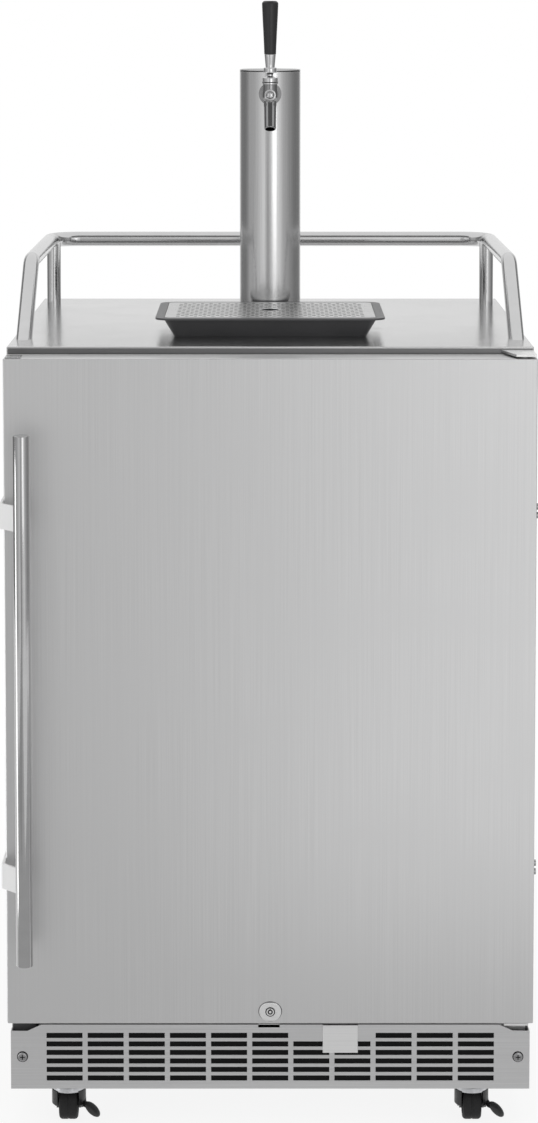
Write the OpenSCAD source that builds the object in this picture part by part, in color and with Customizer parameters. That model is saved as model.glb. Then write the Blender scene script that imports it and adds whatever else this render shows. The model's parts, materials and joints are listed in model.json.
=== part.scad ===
/* [Cabinet] */
// Width of the door, worktop and cabinet
cab_w = 605; // [590:1:650]
// Depth of the cabinet behind the door seal
cab_d = 585; // [575:1:630]
// Height of the worktop surface above the floor
top_z = 917; // [900:1:960]
// Height of the cabinet's bottom edge above the floor
skirt_z = 48.5; // [47:0.5:50]
// Height of the base pan's underside above the floor
pan_z = 56; // [55:0.5:58]
// Thickness of the base pan
pan_t = 2; // [1.5:0.5:3]
// Height of the base pan's turned-up edges
pan_h = 15; // [10:1:20]
// Thickness of the insulated side and back walls
wall_t = 45; // [42:1:50]
// Thickness of the insulated roof
roof_t = 52; // [48:1:60]
// Thickness of the foam under the keg chamber
under_t = 34; // [28:1:40]
// Height of the keg chamber's floor above the floor
floor_z = 190; // [186:1:200]
// Depth of the step over the compressor
hump_d = 122; // [116:1:128]
// Height of the step's top above the floor
hump_z = 330; // [320:1:345]
// Thickness of the steel sheet
sheet = 1.2; // [1:0.1:1.5]
// Thickness of the chamber's lining
liner_t = 2; // [1.5:0.5:3]
// Width of the side panels' front flange
flange_w = 28; // [26:1:30]
// Height of the worktop's turned-down edge
skirt_h = 24; // [18:1:30]
// Height of the worktop's front lip
lip_h = 5; // [4:0.5:6]
// Width of the lining's front flange
lining_flange = 14; // [12:1:16]
// Gap between neighbouring sheets
panel_gap = 0.4; // [0.3:0.1:0.6]
// Thickness of the keg floor plate
keg_plate_t = 2; // [1.5:0.5:3]
// Gap between the keg floor plate and the chamber's walls
keg_plate_gap = 6; // [4:1:10]

/* [Door] */
// Thickness of the door
door_t = 44; // [42:1:48]
// Height of the door's lower edge above the floor
door_z = 139.5; // [138:0.5:142]
// Distance from the worktop surface down to the door's upper edge
door_drop = 8; // [7:0.5:10]
// Thickness of the door's inner panel
inner_t = 4; // [3:0.5:5]
// Thickness of the closed door seal
seal_t = 7; // [6.5:0.5:8]
// Width of the door seal
seal_w = 14; // [12:1:16]
// Distance from the door's edge to the seal
seal_inset = 17; // [16:1:20]
// Height of the seal's lower run above the door's lower edge
seal_rise = 29; // [28:1:32]
// Clearance between the seal and the cabinet
seal_gap = 0.3; // [0.2:0.1:0.5]

/* [Door handle] */
// Diameter of the handle bar
handle_d = 19; // [16:0.5:22]
// Length of the handle bar
handle_l = 605; // [560:1:660]
// Height of the handle bar's middle above the floor
handle_z = 526; // [510:1:540]
// Distance from the door's face to the handle bar's axis
handle_out = 50; // [46:1:56]
// Distance from the door's left edge to the handle bar's axis
handle_in = 24.5; // [22:0.5:28]
// Distance between the two handle brackets
bracket_span = 414; // [380:1:440]
// Height of a handle bracket
bracket_h = 29; // [26:1:34]
// Thickness of a handle bracket
bracket_t = 3; // [2.5:0.5:4]
// Distance that a handle bracket lies back along the door's edge
bracket_back = 30; // [28:1:34]
// Distance from the door's face to the bracket's bend
bracket_fore = 20; // [16:1:24]
// Distance between a bracket's two screws
screw_pitch = 10; // [9:0.5:14]
// Diameter of the bracket screws and of the plugs in the unused holes
plug_d = 5.5; // [5:0.5:6]
// Height of the plugs' heads
plug_h = 3; // [2.5:0.5:4]
// Depth of the screws and plugs in the door's edge
plug_depth = 9; // [6:1:12]
// Width of the cap on the door's upper left corner
door_cap_w = 18; // [16:1:20]
// Depth of the cap on the door's upper left corner
door_cap_d = 26; // [22:1:30]
// Distance from the door's edges to the cap
door_cap_in = 2; // [1.5:0.5:3]

/* [Hinges] */
// Diameter of the hinge pins
pin_d = 8; // [7:0.5:9]
// Radial clearance of a pin or shaft that turns
run_gap = 0.05; // [0.03:0.01:0.08]
// Outer diameter of the hinge bushes
bush_d = 14; // [12:1:16]
// Length of the hinge bushes
bush_l = 20; // [16:1:24]
// Distance from the door's right edge to the hinge axis
hinge_in = 13; // [12:0.5:14]
// Distance from the door's face to the hinge axis
hinge_y = 21; // [20:0.5:22]
// Thickness of the hinge plates
hinge_t = 2.6; // [2.4:0.1:3]
// Gap between a hinge plate and the door
hinge_gap = 2; // [1:0.5:2.2]
// Length of the hinges' upright leaves
leaf_h = 46; // [40:1:50]
// Width of the hinge plates along the door
leaf_w = 38; // [36:1:42]
// Width of the upper hinge plate at the door's face
leaf_front_w = 24; // [22:1:26]
// Distance from the upper hinge plate to the door's face and edge
leaf_in = 1; // [0.5:0.5:2]
// Distance from the lower hinge plate's ends to the upper one's
leaf_low_in = 5; // [4.5:0.5:6]
// Distance from the lower hinge plate to the door's face
leaf_low_back = 6; // [5:0.5:8]
// Length of the lower hinge's upright leaf
leaf_low_h = 34; // [28:1:38]
// Distance from the door seal to the upper hinge's upright leaf
leaf_seal_gap = 4; // [3.5:0.5:5]
// Distance from a hinge pin's end to its bush's end
pin_short = 2; // [1:0.5:4]

/* [Lock] */
// Height of the lock's axis above the door's lower edge
lock_rise = 14.5; // [14:0.5:16]
// Width of the lock's oval plate
lock_w = 25.5; // [24:0.5:28]
// Height of the lock's oval plate
lock_h = 21.5; // [20:0.5:23]
// Thickness of the lock's oval plate
lock_t = 2.5; // [2:0.5:3]
// Diameter of the lock's barrel
barrel_d = 16; // [15:0.5:18]
// Diameter of the key cylinder
key_d = 10; // [9:0.5:11]
// Length of the lock's cam from its axis
cam_l = 36; // [35:0.5:38]
// Width of the lock's cam
cam_w = 12; // [10:1:14]
// Thickness of the lock's cam
cam_t = 2; // [1.5:0.5:2.5]
// Distance from the door's back to the lock's cam
cam_gap = 0.8; // [0.5:0.1:1.2]

/* [Kick grille] */
// Distance from the door's face to the grille's face
grille_y = 38.8; // [36:0.2:40]
// Height of the grille's upper edge above the floor
grille_z = 125; // [123:0.5:126]
// Number of slots in a row
slot_cols = 11; // [9:1:13]
// Number of slots in a column
slot_rows = 6; // [5:1:7]
// Width of a slot
slot_w = 41.9; // [36:0.1:43]
// Height of a slot
slot_h = 6.1; // [5:0.1:7]
// Distance between neighbouring slots along a row
slot_dx = 47.9; // [45:0.1:49]
// Distance between neighbouring rows of slots
slot_dz = 10.15; // [9.5:0.05:10.5]
// Height of the lowest row of slots above the grille's lower edge
slot_z0 = 12.8; // [10:0.1:15]
// Height of the corner notches over the hinge leaves
notch_h = 7.5; // [6.5:0.5:8.5]
// Length of the corner notches along the upper edge
notch_w = 36; // [34:1:38]
// Length of the corner notches along their lower edge
notch_low_w = 20; // [18:1:24]
// Width of the plain cover plate
cover_w = 41; // [36:1:46]
// Height of the plain cover plate
cover_h = 33; // [28:1:36]
// Distance of the plain cover plate from the middle
cover_x = 81.5; // [75:0.5:95]
// Thickness of the plain cover plate
cover_t = 2.5; // [2:0.5:3]
// Thickness of the dust screen behind the slots
screen_t = 1.5; // [1:0.5:2]
// Distance that the dust screen reaches past the slots
screen_over = 3; // [2:0.5:3]
// Diameter of the screw heads
screw_d = 11; // [9:0.5:12]
// Height of the screw heads
screw_h = 2.5; // [2:0.5:3]
// Distance from the cabinet's edge to the grille's screws
screw_in = 14; // [12:0.5:16]

/* [Guard rail] */
// Diameter of the rail's tube
rail_d = 19; // [16:0.5:22]
// Height of the rail's axis above the worktop
rail_h = 83; // [75:1:95]
// Distance from the cabinet's side to the rail's axis
rail_in = 13.5; // [12:0.5:18]
// Distance from the worktop's front edge to the front legs' feet
rail_front = 85; // [75:1:95]
// Distance that the front legs lean back
leg_lean = 112; // [95:1:125]
// Distance from the worktop's back edge to the side bars' ends
rail_rear = 89; // [86:1:110]
// Distance from the worktop's back edge to the rear bar
bar_rear = 36; // [30:1:38]
// Radius of the rail's bends
rail_bend = 38; // [32:1:40]
// Place of the rear posts along the corner bends in degrees
post_turn = 25; // [15:1:40]

/* [Tower] */
// Diameter of the tower
tower_d = 76; // [74:0.5:82]
// Height of the tower above the worktop
tower_h = 312; // [290:1:330]
// Distance from the worktop's front edge to the tower's axis
tower_y0 = 333; // [330:1:345]
// Wall of the tower's tube
tower_wall = 2; // [1.5:0.5:3]
// Height of the tower's cap
cap_h = 5; // [4:0.5:8]
// Depth of the dish in the tower's cap
cap_dish = 0.8; // [0.5:0.1:1.5]
// Diameter of the tower's base flange
base_d = 100; // [96:1:104]
// Diameter of the base flange's screws
base_screw_d = 6; // [5:0.5:7]
// Distance from the base flange's edge to its screws
base_screw_in = 5; // [4.5:0.5:6]
// Thickness of the tower's base flange
base_h = 4; // [3:0.5:5]
// Height of the flange's spigot inside the tower
spigot_h = 12; // [8:1:16]
// Diameter of the hole below the tower
riser_d = 58; // [50:1:60]
// Thickness of the tower's foam sleeve
sleeve_t = 9; // [6:1:10]

/* [Tap] */
// Distance from the tower's top down to the tap's shank
tap_drop = 30; // [27:0.5:45]
// Distance from the tower's face to the lever's pivot
tap_out = 52; // [50:1:58]
// Diameter of the shank
shank_d = 20; // [19:0.5:22]
// Diameter of the shank's flange and nut
shank_flange_d = 28; // [27:0.5:32]
// Thickness of the shank's flange in front of the tower
shank_flange_t = 5; // [4:0.5:6]
// Distance that the shank stands out of the tower
shank_out = 16; // [14:0.5:17]
// Thickness of the shank's nut
shank_nut_t = 8; // [6:0.5:10]
// Length of the coupling collar
collar_l = 18.5; // [17:0.5:19]
// Diameter of the coupling collar
collar_d = 27; // [26:0.5:30]
// Diameter of the tap's body
body_d = 22; // [21:0.5:24]
// Outer diameter of the spout
spout_d = 15; // [14:0.5:16]
// Bore of the spout
spout_bore = 10; // [8:0.5:11]
// Length of the spout along its axis
spout_l = 46; // [40:1:50]
// Forward tilt of the spout in degrees
spout_tilt = 26; // [20:1:28]
// Distance from the shank's axis up to the lever's pivot
pivot_up = 16; // [15.5:0.5:17]
// Diameter of the lever's ball
ball_d = 16; // [15.5:0.5:16.5]
// Diameter of the lever's pivot pin
pivot_pin_d = 3; // [2.5:0.5:3.5]
// Diameter of the lever's stem
stem_d = 7; // [6:0.5:7.5]
// Length of the lever's stem inside the tap handle
stem_l = 12; // [10:1:20]
// Diameter of the lever's finger
finger_d = 4; // [3.5:0.5:4.5]
// Diameter of the valve's rod
valve_d = 9; // [8.5:0.5:9.5]
// Height of the bonnet's top above the pivot
bonnet_top = 5.5; // [5:0.5:6]
// Diameter of the bonnet
bonnet_d = 24; // [23.5:0.5:26]
// Height of the lever's collar above the pivot
nut_up = 10; // [9.5:0.5:12]
// Height of the ferrule's lower end above the pivot
ferrule_up = 18.5; // [17.5:0.5:21]
// Height of the ferrule
ferrule_h = 15; // [12:0.5:18]
// Diameter of the ferrule
ferrule_d = 16; // [14:0.5:18]
// Height of the tap handle
knob_h = 65; // [55:1:75]
// Width of the tap handle at its lower end
knob_d0 = 14.4; // [13:0.1:15.5]
// Width of the tap handle at its upper end
knob_d1 = 20; // [17:0.5:24]

/* [Drip tray] */
// Width of the tray's rim
tray_w = 271; // [255:1:290]
// Depth of the tray's rim
tray_d = 207; // [195:1:212]
// Height of the tray
tray_h = 24; // [20:0.5:28]
// Thickness of the tray's rim
rim_t = 5; // [4:0.5:6]
// Distance that the tray's walls lean outwards
tray_lean = 12; // [8:1:16]
// Distance from the rim's edge to the tray's walls
tray_lip = 10; // [8:1:14]
// Thickness of the tray's walls
tray_wall = 2.5; // [2:0.5:3.5]
// Gap between the tray and the tower
tray_gap = 5; // [4:0.5:8]
// Distance from the rim's edge to the grid
grid_in = 11; // [9:0.5:13]
// Thickness of the grid
grid_t = 1.6; // [1.2:0.2:2]
// Depth of the grid in the rim
grid_seat = 1.4; // [1:0.2:2]
// Clearance around the grid
grid_gap = 0.6; // [0.4:0.1:1]
// Diameter of the grid's holes
hole_d = 5; // [4:0.5:6]
// Distance between the grid's holes
hole_dx = 10.4; // [9:0.2:13]
// Distance from the grid's edge to its holes
hole_edge = 8; // [6:1:12]
// Diameter of the grid's finger hole
finger_hole_d = 21; // [18:0.5:24]

/* [Casters] */
// Distance from the cabinet's side to the casters' axes
caster_in = 65.5; // [60:0.5:80]
// Distance from the door's face to the front casters' axes
caster_front = 90; // [88:1:100]
// Distance from the cabinet's back to the rear casters' axes
caster_rear = 62; // [55:1:75]
// Diameter of a wheel
wheel_d = 40; // [38:0.5:41]
// Width of a wheel
wheel_w = 22; // [19:0.5:23]
// Trail between a wheel's axle and its swivel
trail = 15; // [13:0.5:16]
// Diameter of the axle
axle_d = 6; // [5:0.5:7]
// Thickness of the fork's legs
fork_t = 2.4; // [2:0.2:3]
// Gap between a wheel and its fork
fork_gap = 1; // [0.8:0.1:1.5]
// Diameter of the fork's crown
crown_d = 41; // [38:0.5:44]
// Thickness of the fork's crown
crown_t = 5; // [4:0.5:6]
// Thickness of the mounting plate
plate_t = 3; // [2:0.5:3.5]
// Width of the mounting plate
plate_w = 54; // [50:1:60]
// Height of the swivel's race
race_h = 2.6; // [2.4:0.1:3]
// Diameter of the swivel's pin
king_d = 10; // [9:0.5:11]
// Thickness of the axle's heads
axle_head = 2; // [1.5:0.5:2.5]
// Radius of a wheel's shoulders
shoulder_r = 4; // [3:0.5:5]
// Thickness of the swivel pin's head
king_head = 2.6; // [2:0.2:3]
// Running gap between flat faces
face_gap = 0.3; // [0.2:0.1:0.4]
// Thickness of a brake pedal
pedal_t = 3; // [2.5:0.5:4]
// Reach of a brake pedal in front of the axle
pedal_reach = 27; // [26:1:32]
// Width of a brake pedal's tread
pedal_w = 24; // [18:1:28]
// Depth of a brake pedal's tread
pedal_d = 12; // [10:1:14]
// Slope of a brake pedal at rest in degrees
pedal_slope = 26; // [24:1:28]

/* [Cooling] */
// Diameter of the compressor
comp_d = 104; // [96:1:108]
// Height of the compressor
comp_h = 150; // [130:1:170]
// Distance of the compressor from the middle
comp_x = 110; // [95:1:130]
// Height of the compressor's rubber feet
comp_foot = 12; // [10:1:16]
// Radius of the compressor's rounded ends
comp_round = 24; // [18:1:30]
// Width of the condenser
cond_w = 380; // [340:5:420]
// Distance from the cabinet's front to the condenser
cond_front = 120; // [105:5:140]
// Gap between the condenser and the foam above it
cond_gap = 14; // [10:1:20]
// Thickness of the cooling fins
fin_t = 1; // [0.8:0.1:1.5]
// Diameter of the condenser fan
fan_d = 92; // [84:1:96]
// Distance of the condenser fan from the middle
fan_x = 60; // [50:1:75]
// Depth of the condenser fan's shroud
shroud_d = 24; // [22:1:30]
// Width of the shroud's rim round the fan
shroud_rim = 8; // [6:1:10]
// Height of the shroud's foot
shroud_foot = 4; // [3:0.5:6]
// Diameter of the fans' motors and hubs
motor_d = 32; // [28:1:36]
// Diameter of the fans' shafts
shaft_d = 5; // [4:0.5:6]
// Gap between a fan's blades and the ring round them
blade_gap = 3; // [2.5:0.5:4]
// Diameter of the circulation fan
circ_d = 88; // [80:1:96]
// Height of the circulation fan's axis below the chamber's roof
circ_drop = 120; // [110:1:150]
// Depth of the evaporator's cover
evap_d = 46; // [40:1:52]
// Width of the evaporator's cover
evap_w = 340; // [300:1:400]
// Height of the evaporator's cover
evap_h = 220; // [200:1:260]
// Wall of the evaporator's cover
evap_wall = 2; // [1.5:0.5:3]
// Clearance above and below the evaporator's fins
evap_room = 10; // [8:1:12]
// Distance from the cover's side to the evaporator's fins
evap_side = 30; // [25:1:35]
// Height of an air slot in the evaporator's cover
vent_h = 3; // [2.5:0.5:3.5]
// Depth of the thermostat's housing
stat_d = 34; // [28:1:40]
// Width of the thermostat's housing
stat_w = 70; // [60:1:80]
// Height of the thermostat's housing
stat_h = 100; // [80:1:110]
// Distance from the chamber's roof to the thermostat's housing
stat_drop = 30; // [20:1:40]
// Distance from the cabinet's front to the thermostat's housing
stat_front = 40; // [30:1:50]
// Diameter of the thermostat's knob
stat_knob_d = 32; // [26:1:36]
// Length of the thermostat's knob
stat_knob_l = 12; // [10:1:14]
// Width of the grip on the thermostat's knob
stat_grip = 5; // [4:0.5:6]
// Diameter of the thermostat's shaft
stat_shaft_d = 8; // [6:0.5:9]
// Diameter of the refrigerant tubes
pipe_d = 8; // [6:1:10]
// Bend radius of the discharge tube
pipe_bend = 22; // [18:1:26]

/* [Rear] */
// Width of a rear louvre
louvre_w = 150; // [120:1:160]
// Height of a rear louvre
louvre_h = 6; // [5:0.5:8]
// Distance between neighbouring louvres
louvre_dz = 16; // [14:1:20]
// Distance of the louvres' middles from the middle
louvre_x = 127.5; // [110:0.5:150]
// Height of the lowest louvre above the base pan
louvre_up = 60; // [54:1:66]
// Distance from the cabinet's side to the mains inlet
inlet_in = 96; // [90:1:110]
// Height of the mains inlet above the base pan
inlet_up = 32; // [30:1:34]
// Width of the mains inlet
inlet_w = 28; // [27:0.5:30]
// Height of the mains inlet
inlet_h = 20; // [19:0.5:22]
// Width of the mains inlet's rim
inlet_rim = 3; // [2.5:0.5:3.5]
// Depth of the mains inlet's socket
inlet_d = 16; // [14:1:18]
// Distance from the cabinet's side to the gas line's grommet
grommet_in = 90; // [80:1:100]
// Height of the grommet above the base pan
grommet_up = 30; // [28:1:32]
// Diameter of the grommet's hole in the cover
grommet_d = 24; // [22:0.5:26]
// Length of the grommet
grommet_l = 6; // [5:0.5:8]
// Diameter of the gas line's bore
gas_d = 12; // [10:0.5:13]

/* [Hidden] */
$fn = 48;
eps = 1;
hw = cab_w / 2;
reach = handle_out + handle_d / 2;
total_d = reach + door_t + seal_t + seal_gap + cab_d;
y_door = reach - total_d / 2;
y_inner = y_door + door_t;
y_cab = y_inner + seal_t + seal_gap;
y_back = y_cab + cab_d;
door_top = top_z - door_drop;
side_x = hw - sheet;
cav_x = hw - wall_t;
cav_y = y_back - wall_t;
cav_top = top_z - roof_t;
hump_y = cav_y - hump_d;
mach_y = hump_y + liner_t + under_t;
mach_z = floor_z - liner_t - under_t;
hump_under = hump_z - liner_t - under_t;
hinge_pos = [hw - hinge_in, y_door + hinge_y];
hinge_low = door_z - hinge_gap - hinge_t;
hinge_high = door_top + hinge_gap;
leaf_x = hw - leaf_w;
lock_z = door_z + lock_rise;
cam_sweep = sqrt(pow(cam_l, 2) + pow(cam_w / 2, 2) - pow(lock_z - grille_z, 2));
grille_face = y_door + grille_y;
slot_x0 = -(slot_dx * (slot_cols - 1) + slot_w) / 2;
handle_x = -hw + handle_in;
bar_y = y_door - handle_out;
rail_x = hw - rail_in;
rail_z = top_z + rail_h;
post_front = y_cab + rail_front;
side_back = y_back - rail_rear;
bar_back = y_back - bar_rear;
side_end = bar_back - rail_bend;
leg_angle = atan2(rail_h, leg_lean);
leg_bend = rail_bend * tan(leg_angle / 2);
leg_in = 2;
leg_l = norm([leg_lean, rail_h]) - leg_bend + leg_in;
leg_d = rail_d - 0.4;
bend_y = post_front + leg_lean + leg_bend;
tower_y = y_cab + tower_y0;
tower_top = top_z + tower_h;
tower_face = tower_y - tower_d / 2;
tap_z = tower_top - tap_drop;
pivot_y = tower_face - tap_out;
pivot_z = tap_z + pivot_up;
shank_front = tower_face - shank_out;
shank_back = tower_y - shank_flange_t;
collar_back = tower_face - shank_flange_t - panel_gap;
collar_y = [collar_back - collar_l, collar_back];
chamber_d = ball_d + 1;
bonnet_z = pivot_z - pivot_pin_d;
nut_z = pivot_z + nut_up;
ferrule_z = pivot_z + ferrule_up;
knob_z = ferrule_z + ferrule_h;
tray_back = tower_face - tray_gap;
tray_front = tray_back - tray_d;
tray_z = top_z + tray_h;
grid_w = tray_w - 2 * grid_in;
grid_y = [tray_front + grid_in, tray_back - grid_in];
grid_z = tray_z - grid_seat;
hole_dy = hole_dx * sqrt(3) / 2;
hole_cols = floor((grid_w - 2 * hole_edge) / hole_dx);
hole_rows = floor((grid_y[1] - grid_y[0] - 2 * hole_edge) / hole_dy);
axle_z = wheel_d / 2;
hub_d = 2.4 * axle_d;
head_d = axle_d + 2 * axle_head;
caster_x = hw - caster_in;
crown_z = pan_z - plate_t - race_h - face_gap - crown_t;
fork_x = wheel_w / 2 + fork_gap;
front_axis = y_door + caster_front;
rear_axis = y_back - caster_rear;
comp_y = (mach_y + y_back - 2 * sheet) / 2;
comp_z = pan_z + pan_t + comp_foot;
fan_z = pan_z + pan_t + shroud_foot + shroud_rim + fan_d / 2;
circ_z = cav_top - circ_drop;
evap_y = cav_y - evap_d;
evap_z = [circ_z - evap_h / 2, circ_z + evap_h / 2];
evap_block = [evap_z[0] + evap_room, circ_z - circ_d / 2 - evap_room];
cond_y = [y_cab + cond_front, hump_y];
cond_z = [pan_z + pan_t, mach_z - cond_gap];
cond_mid = (cond_z[0] + cond_z[1]) / 2;
pipe_over = pipe_d + pan_t;
stat_y = [y_cab + stat_front, y_cab + stat_front + stat_w];
stat_z = [cav_top - stat_drop - stat_h, cav_top - stat_drop];
stat_mid = [(stat_y[0] + stat_y[1]) / 2, (stat_z[0] + stat_z[1]) / 2];
inlet_x = hw - inlet_in;
inlet_z = pan_z + inlet_up;
grommet_x = grommet_in - hw;
grommet_z = pan_z + grommet_up;

// A box between three pairs of limits
module span(x, y, z) {
    translate([x[0], y[0], z[0]])
        cube([x[1] - x[0], y[1] - y[0], z[1] - z[0]]);
}

// Round bars along the three axes
module rod_x(d, x, y, z) {
    translate([x[0], y, z]) rotate([0, 90, 0]) cylinder(d = d, h = x[1] - x[0]);
}

module rod_y(d, x, y, z) {
    translate([x, y[0], z]) rotate([-90, 0, 0]) cylinder(d = d, h = y[1] - y[0]);
}

module rod_z(d, x, y, z) {
    translate([x, y, z[0]]) cylinder(d = d, h = z[1] - z[0]);
}

// A bend of a bar, from +X towards +Y round the origin
module bend(d, r, a = 90) {
    rotate_extrude(angle = a) translate([r, 0]) circle(d = d);
}

// A prism with leaning sides between two rectangles
module lean_box(x0, y0, z0, x1, y1, z1) {
    points = [
        [x0[0], y0[0], z0], [x0[1], y0[0], z0], [x0[1], y0[1], z0], [x0[0], y0[1], z0],
        [x1[0], y1[0], z1], [x1[1], y1[0], z1], [x1[1], y1[1], z1], [x1[0], y1[1], z1]
    ];
    faces = [
        [0, 1, 2, 3], [4, 5, 1, 0], [5, 6, 2, 1], [6, 7, 3, 2], [7, 4, 0, 3], [7, 6, 5, 4]
    ];
    polyhedron(points, faces);
}

module worktop() {
    under = [top_z - skirt_h - eps, top_z - sheet];
    color("silver") difference() {
        span([-hw, hw], [y_cab, y_back], [top_z - skirt_h, top_z]);
        span([-side_x, side_x], [y_cab + sheet, y_back - sheet], under);
        span([-side_x, side_x], [y_cab - eps, tower_y], [under[0], top_z - lip_h]);
        rod_z(riser_d, 0, tower_y, [top_z - skirt_h, top_z + eps]);
    }
}

module side_panel(side) {
    mirror([side < 0 ? 1 : 0, 0, 0]) {
        span([side_x - sheet, side_x], [y_cab, y_back - sheet], [skirt_z, top_z - lip_h - panel_gap]);
        span([side_x - flange_w, side_x], [y_cab, y_cab + sheet], [grille_z, top_z - lip_h - panel_gap]);
    }
}

module side_panel_left() {
    color("silver") side_panel(-1);
}

module side_panel_right() {
    color("silver") side_panel(1);
}

module back_panel() {
    edge = side_x - sheet - panel_gap;
    color("darkgray")
        span([-edge, edge], [y_back - 2 * sheet, y_back - sheet], [hump_z - skirt_h, top_z - sheet]);
}

module rear_cover() {
    edge = side_x - sheet - panel_gap;
    through = [y_back - 2 * sheet, y_back + eps];
    louvres = floor((hump_under - pan_z - louvre_up) / louvre_dz);
    color("darkgray") difference() {
        span([-edge, edge], [y_back - sheet, y_back], [skirt_z, hump_z + panel_gap]);
        for (side = [-1, 1], i = [0 : louvres - 1])
            translate([side * louvre_x, 0, pan_z + louvre_up + i * louvre_dz])
                span([-louvre_w / 2, louvre_w / 2], through, [0, louvre_h]);
        rod_y(grommet_d, grommet_x, through, grommet_z);
        inlet_box(0, through);
    }
}

// A block round the mains inlet's middle, grown on its four sides
module inlet_box(grow, y) {
    half = [inlet_w / 2 + grow, inlet_h / 2 + grow];
    translate([inlet_x, 0, inlet_z]) span([-half[0], half[0]], y, [-half[1], half[1]]);
}

module base_pan() {
    edge = side_x - sheet - panel_gap;
    y = [y_cab + sheet + panel_gap, y_back - sheet - panel_gap];
    color("gray") difference() {
        span([-edge, edge], y, [pan_z, pan_z + pan_h]);
        span([-edge + pan_t, edge - pan_t], [y[0] + pan_t, y[1] - pan_t],
            [pan_z + pan_t, pan_z + pan_h + eps]);
    }
}

module face_frame() {
    edge = side_x - flange_w - panel_gap;
    y = [y_cab, y_cab + sheet];
    color("dimgray") {
        span([-edge, edge], y,
            [cav_top + liner_t + lining_flange + panel_gap, top_z - lip_h - panel_gap]);
        span([-edge, edge], y, [grille_z, floor_z - liner_t - lining_flange - panel_gap]);
    }
}

// The chamber's lining: walls, roof, back, floor and the step over the compressor
module lining() {
    out_x = cav_x + liner_t;
    in_x = cav_x - panel_gap;
    front = y_cab + sheet;
    color("gainsboro") {
        for (side = [0, 1]) mirror([side, 0, 0]) {
            span([cav_x, out_x], [y_cab, cav_y - panel_gap], [floor_z, cav_top]);
            span([cav_x, side_x - flange_w - panel_gap], [y_cab, y_cab + liner_t], [floor_z, cav_top]);
        }
        span([-out_x, out_x], [y_cab, cav_y - panel_gap], [cav_top + panel_gap, cav_top + liner_t]);
        span([-out_x, out_x], [y_cab, front], [cav_top + panel_gap, cav_top + liner_t + lining_flange]);
        span([-out_x, out_x], [y_cab, hump_y], [floor_z - liner_t, floor_z - panel_gap]);
        span([-out_x, out_x], [y_cab, front], [floor_z - liner_t - lining_flange, floor_z - panel_gap]);
        span([-in_x, in_x], [cav_y, cav_y + liner_t], [hump_z + panel_gap, cav_top]);
        span([-in_x, in_x], [hump_y + panel_gap, hump_y + liner_t], [floor_z, hump_z]);
        span([-in_x, in_x], [hump_y + panel_gap, cav_y + liner_t], [hump_z - liner_t, hump_z]);
    }
}

// The cabinet's foam and the tower's sleeve
module insulation_foam() {
    out_x = side_x - sheet - panel_gap;
    lined_x = cav_x + liner_t + panel_gap;
    sleeve_d = tower_d - 2 * tower_wall - 2 * panel_gap;
    color("khaki") {
        difference() {
            span([-out_x, out_x], [y_cab + liner_t + panel_gap, y_back - 2 * sheet],
                [mach_z, top_z - sheet]);
            difference() {
                span([-lined_x, lined_x], [y_cab, cav_y + liner_t + panel_gap],
                    [floor_z - liner_t - panel_gap, cav_top + liner_t + panel_gap]);
                span([panel_gap - cav_x, cav_x - panel_gap], [hump_y + liner_t + panel_gap, y_back],
                    [0, hump_z - liner_t - panel_gap]);
            }
            span([-hw, hw], [mach_y, y_back], [0, hump_under]);
            rod_z(riser_d, 0, tower_y, [cav_top, top_z + eps]);
            span([-hw, hw], [y_cab, y_cab + 2 * liner_t],
                [mach_z - eps, floor_z - liner_t - lining_flange + eps]);
        }
        difference() {
            rod_z(sleeve_d, 0, tower_y,
                [top_z + base_h + spigot_h + panel_gap, tap_z - shank_flange_d]);
            rod_z(sleeve_d - 2 * sleeve_t, 0, tower_y, [top_z, tap_z]);
        }
    }
}

module keg_floor() {
    edge = cav_x - keg_plate_gap;
    low = floor_z - panel_gap;
    color("silver")
        span([-edge, edge], [y_cab + keg_plate_gap, hump_y - keg_plate_gap], [low, low + keg_plate_t]);
}

// Finned block behind the evaporator's cover
module evaporator() {
    fins = 22;
    runs = 3;
    half = evap_w / 2 - evap_side;
    run_dz = (evap_block[1] - evap_block[0]) / runs;
    color("lightgray") {
        for (i = [0 : fins - 1])
            translate([half * (2 * i / (fins - 1) - 1), 0, 0])
                span([-fin_t / 2, fin_t / 2], [evap_y + evap_d / 2, cav_y], evap_block);
        for (i = [0 : runs - 1])
            rod_x(pipe_d, [-half - pipe_d, half + pipe_d], cav_y - evap_d / 4,
                evap_block[0] + (i + 0.5) * run_dz);
    }
}

module evaporator_cover() {
    half = evap_w / 2;
    inner = half - evap_wall;
    front = [evap_y - eps, evap_y + evap_wall + eps];
    ring_d = circ_d + 2 * evap_wall;
    spokes = 5;
    spoke_w = 3;
    vents = 8;
    color("whitesmoke") difference() {
        union() {
            difference() {
                span([-half, half], [evap_y, cav_y], evap_z);
                span([-inner, inner], [evap_y + evap_wall, cav_y + eps],
                    [evap_z[0] + evap_wall, evap_z[1] - evap_wall]);
                rod_y(ring_d, 0, front, circ_z);
            }
            for (i = [0 : spokes - 1])
                translate([0, 0, circ_z]) rotate([0, 360 / spokes * i, 0])
                    span([-spoke_w / 2, spoke_w / 2], [evap_y, evap_y + evap_wall],
                        [motor_d / 2 - eps, ring_d / 2 + eps]);
            rod_y(motor_d, 0, [evap_y, evap_y + motor_d / 2], circ_z);
        }
        rod_y(shaft_d + 2 * run_gap, 0, [evap_y + 2 * evap_wall, cav_y], circ_z);
        for (i = [0 : vents - 1])
            translate([0, 0, evap_z[0] + (2 * i + 3) * vent_h])
                span([evap_side - half, half - evap_side], front, [0, vent_h]);
    }
}

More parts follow.
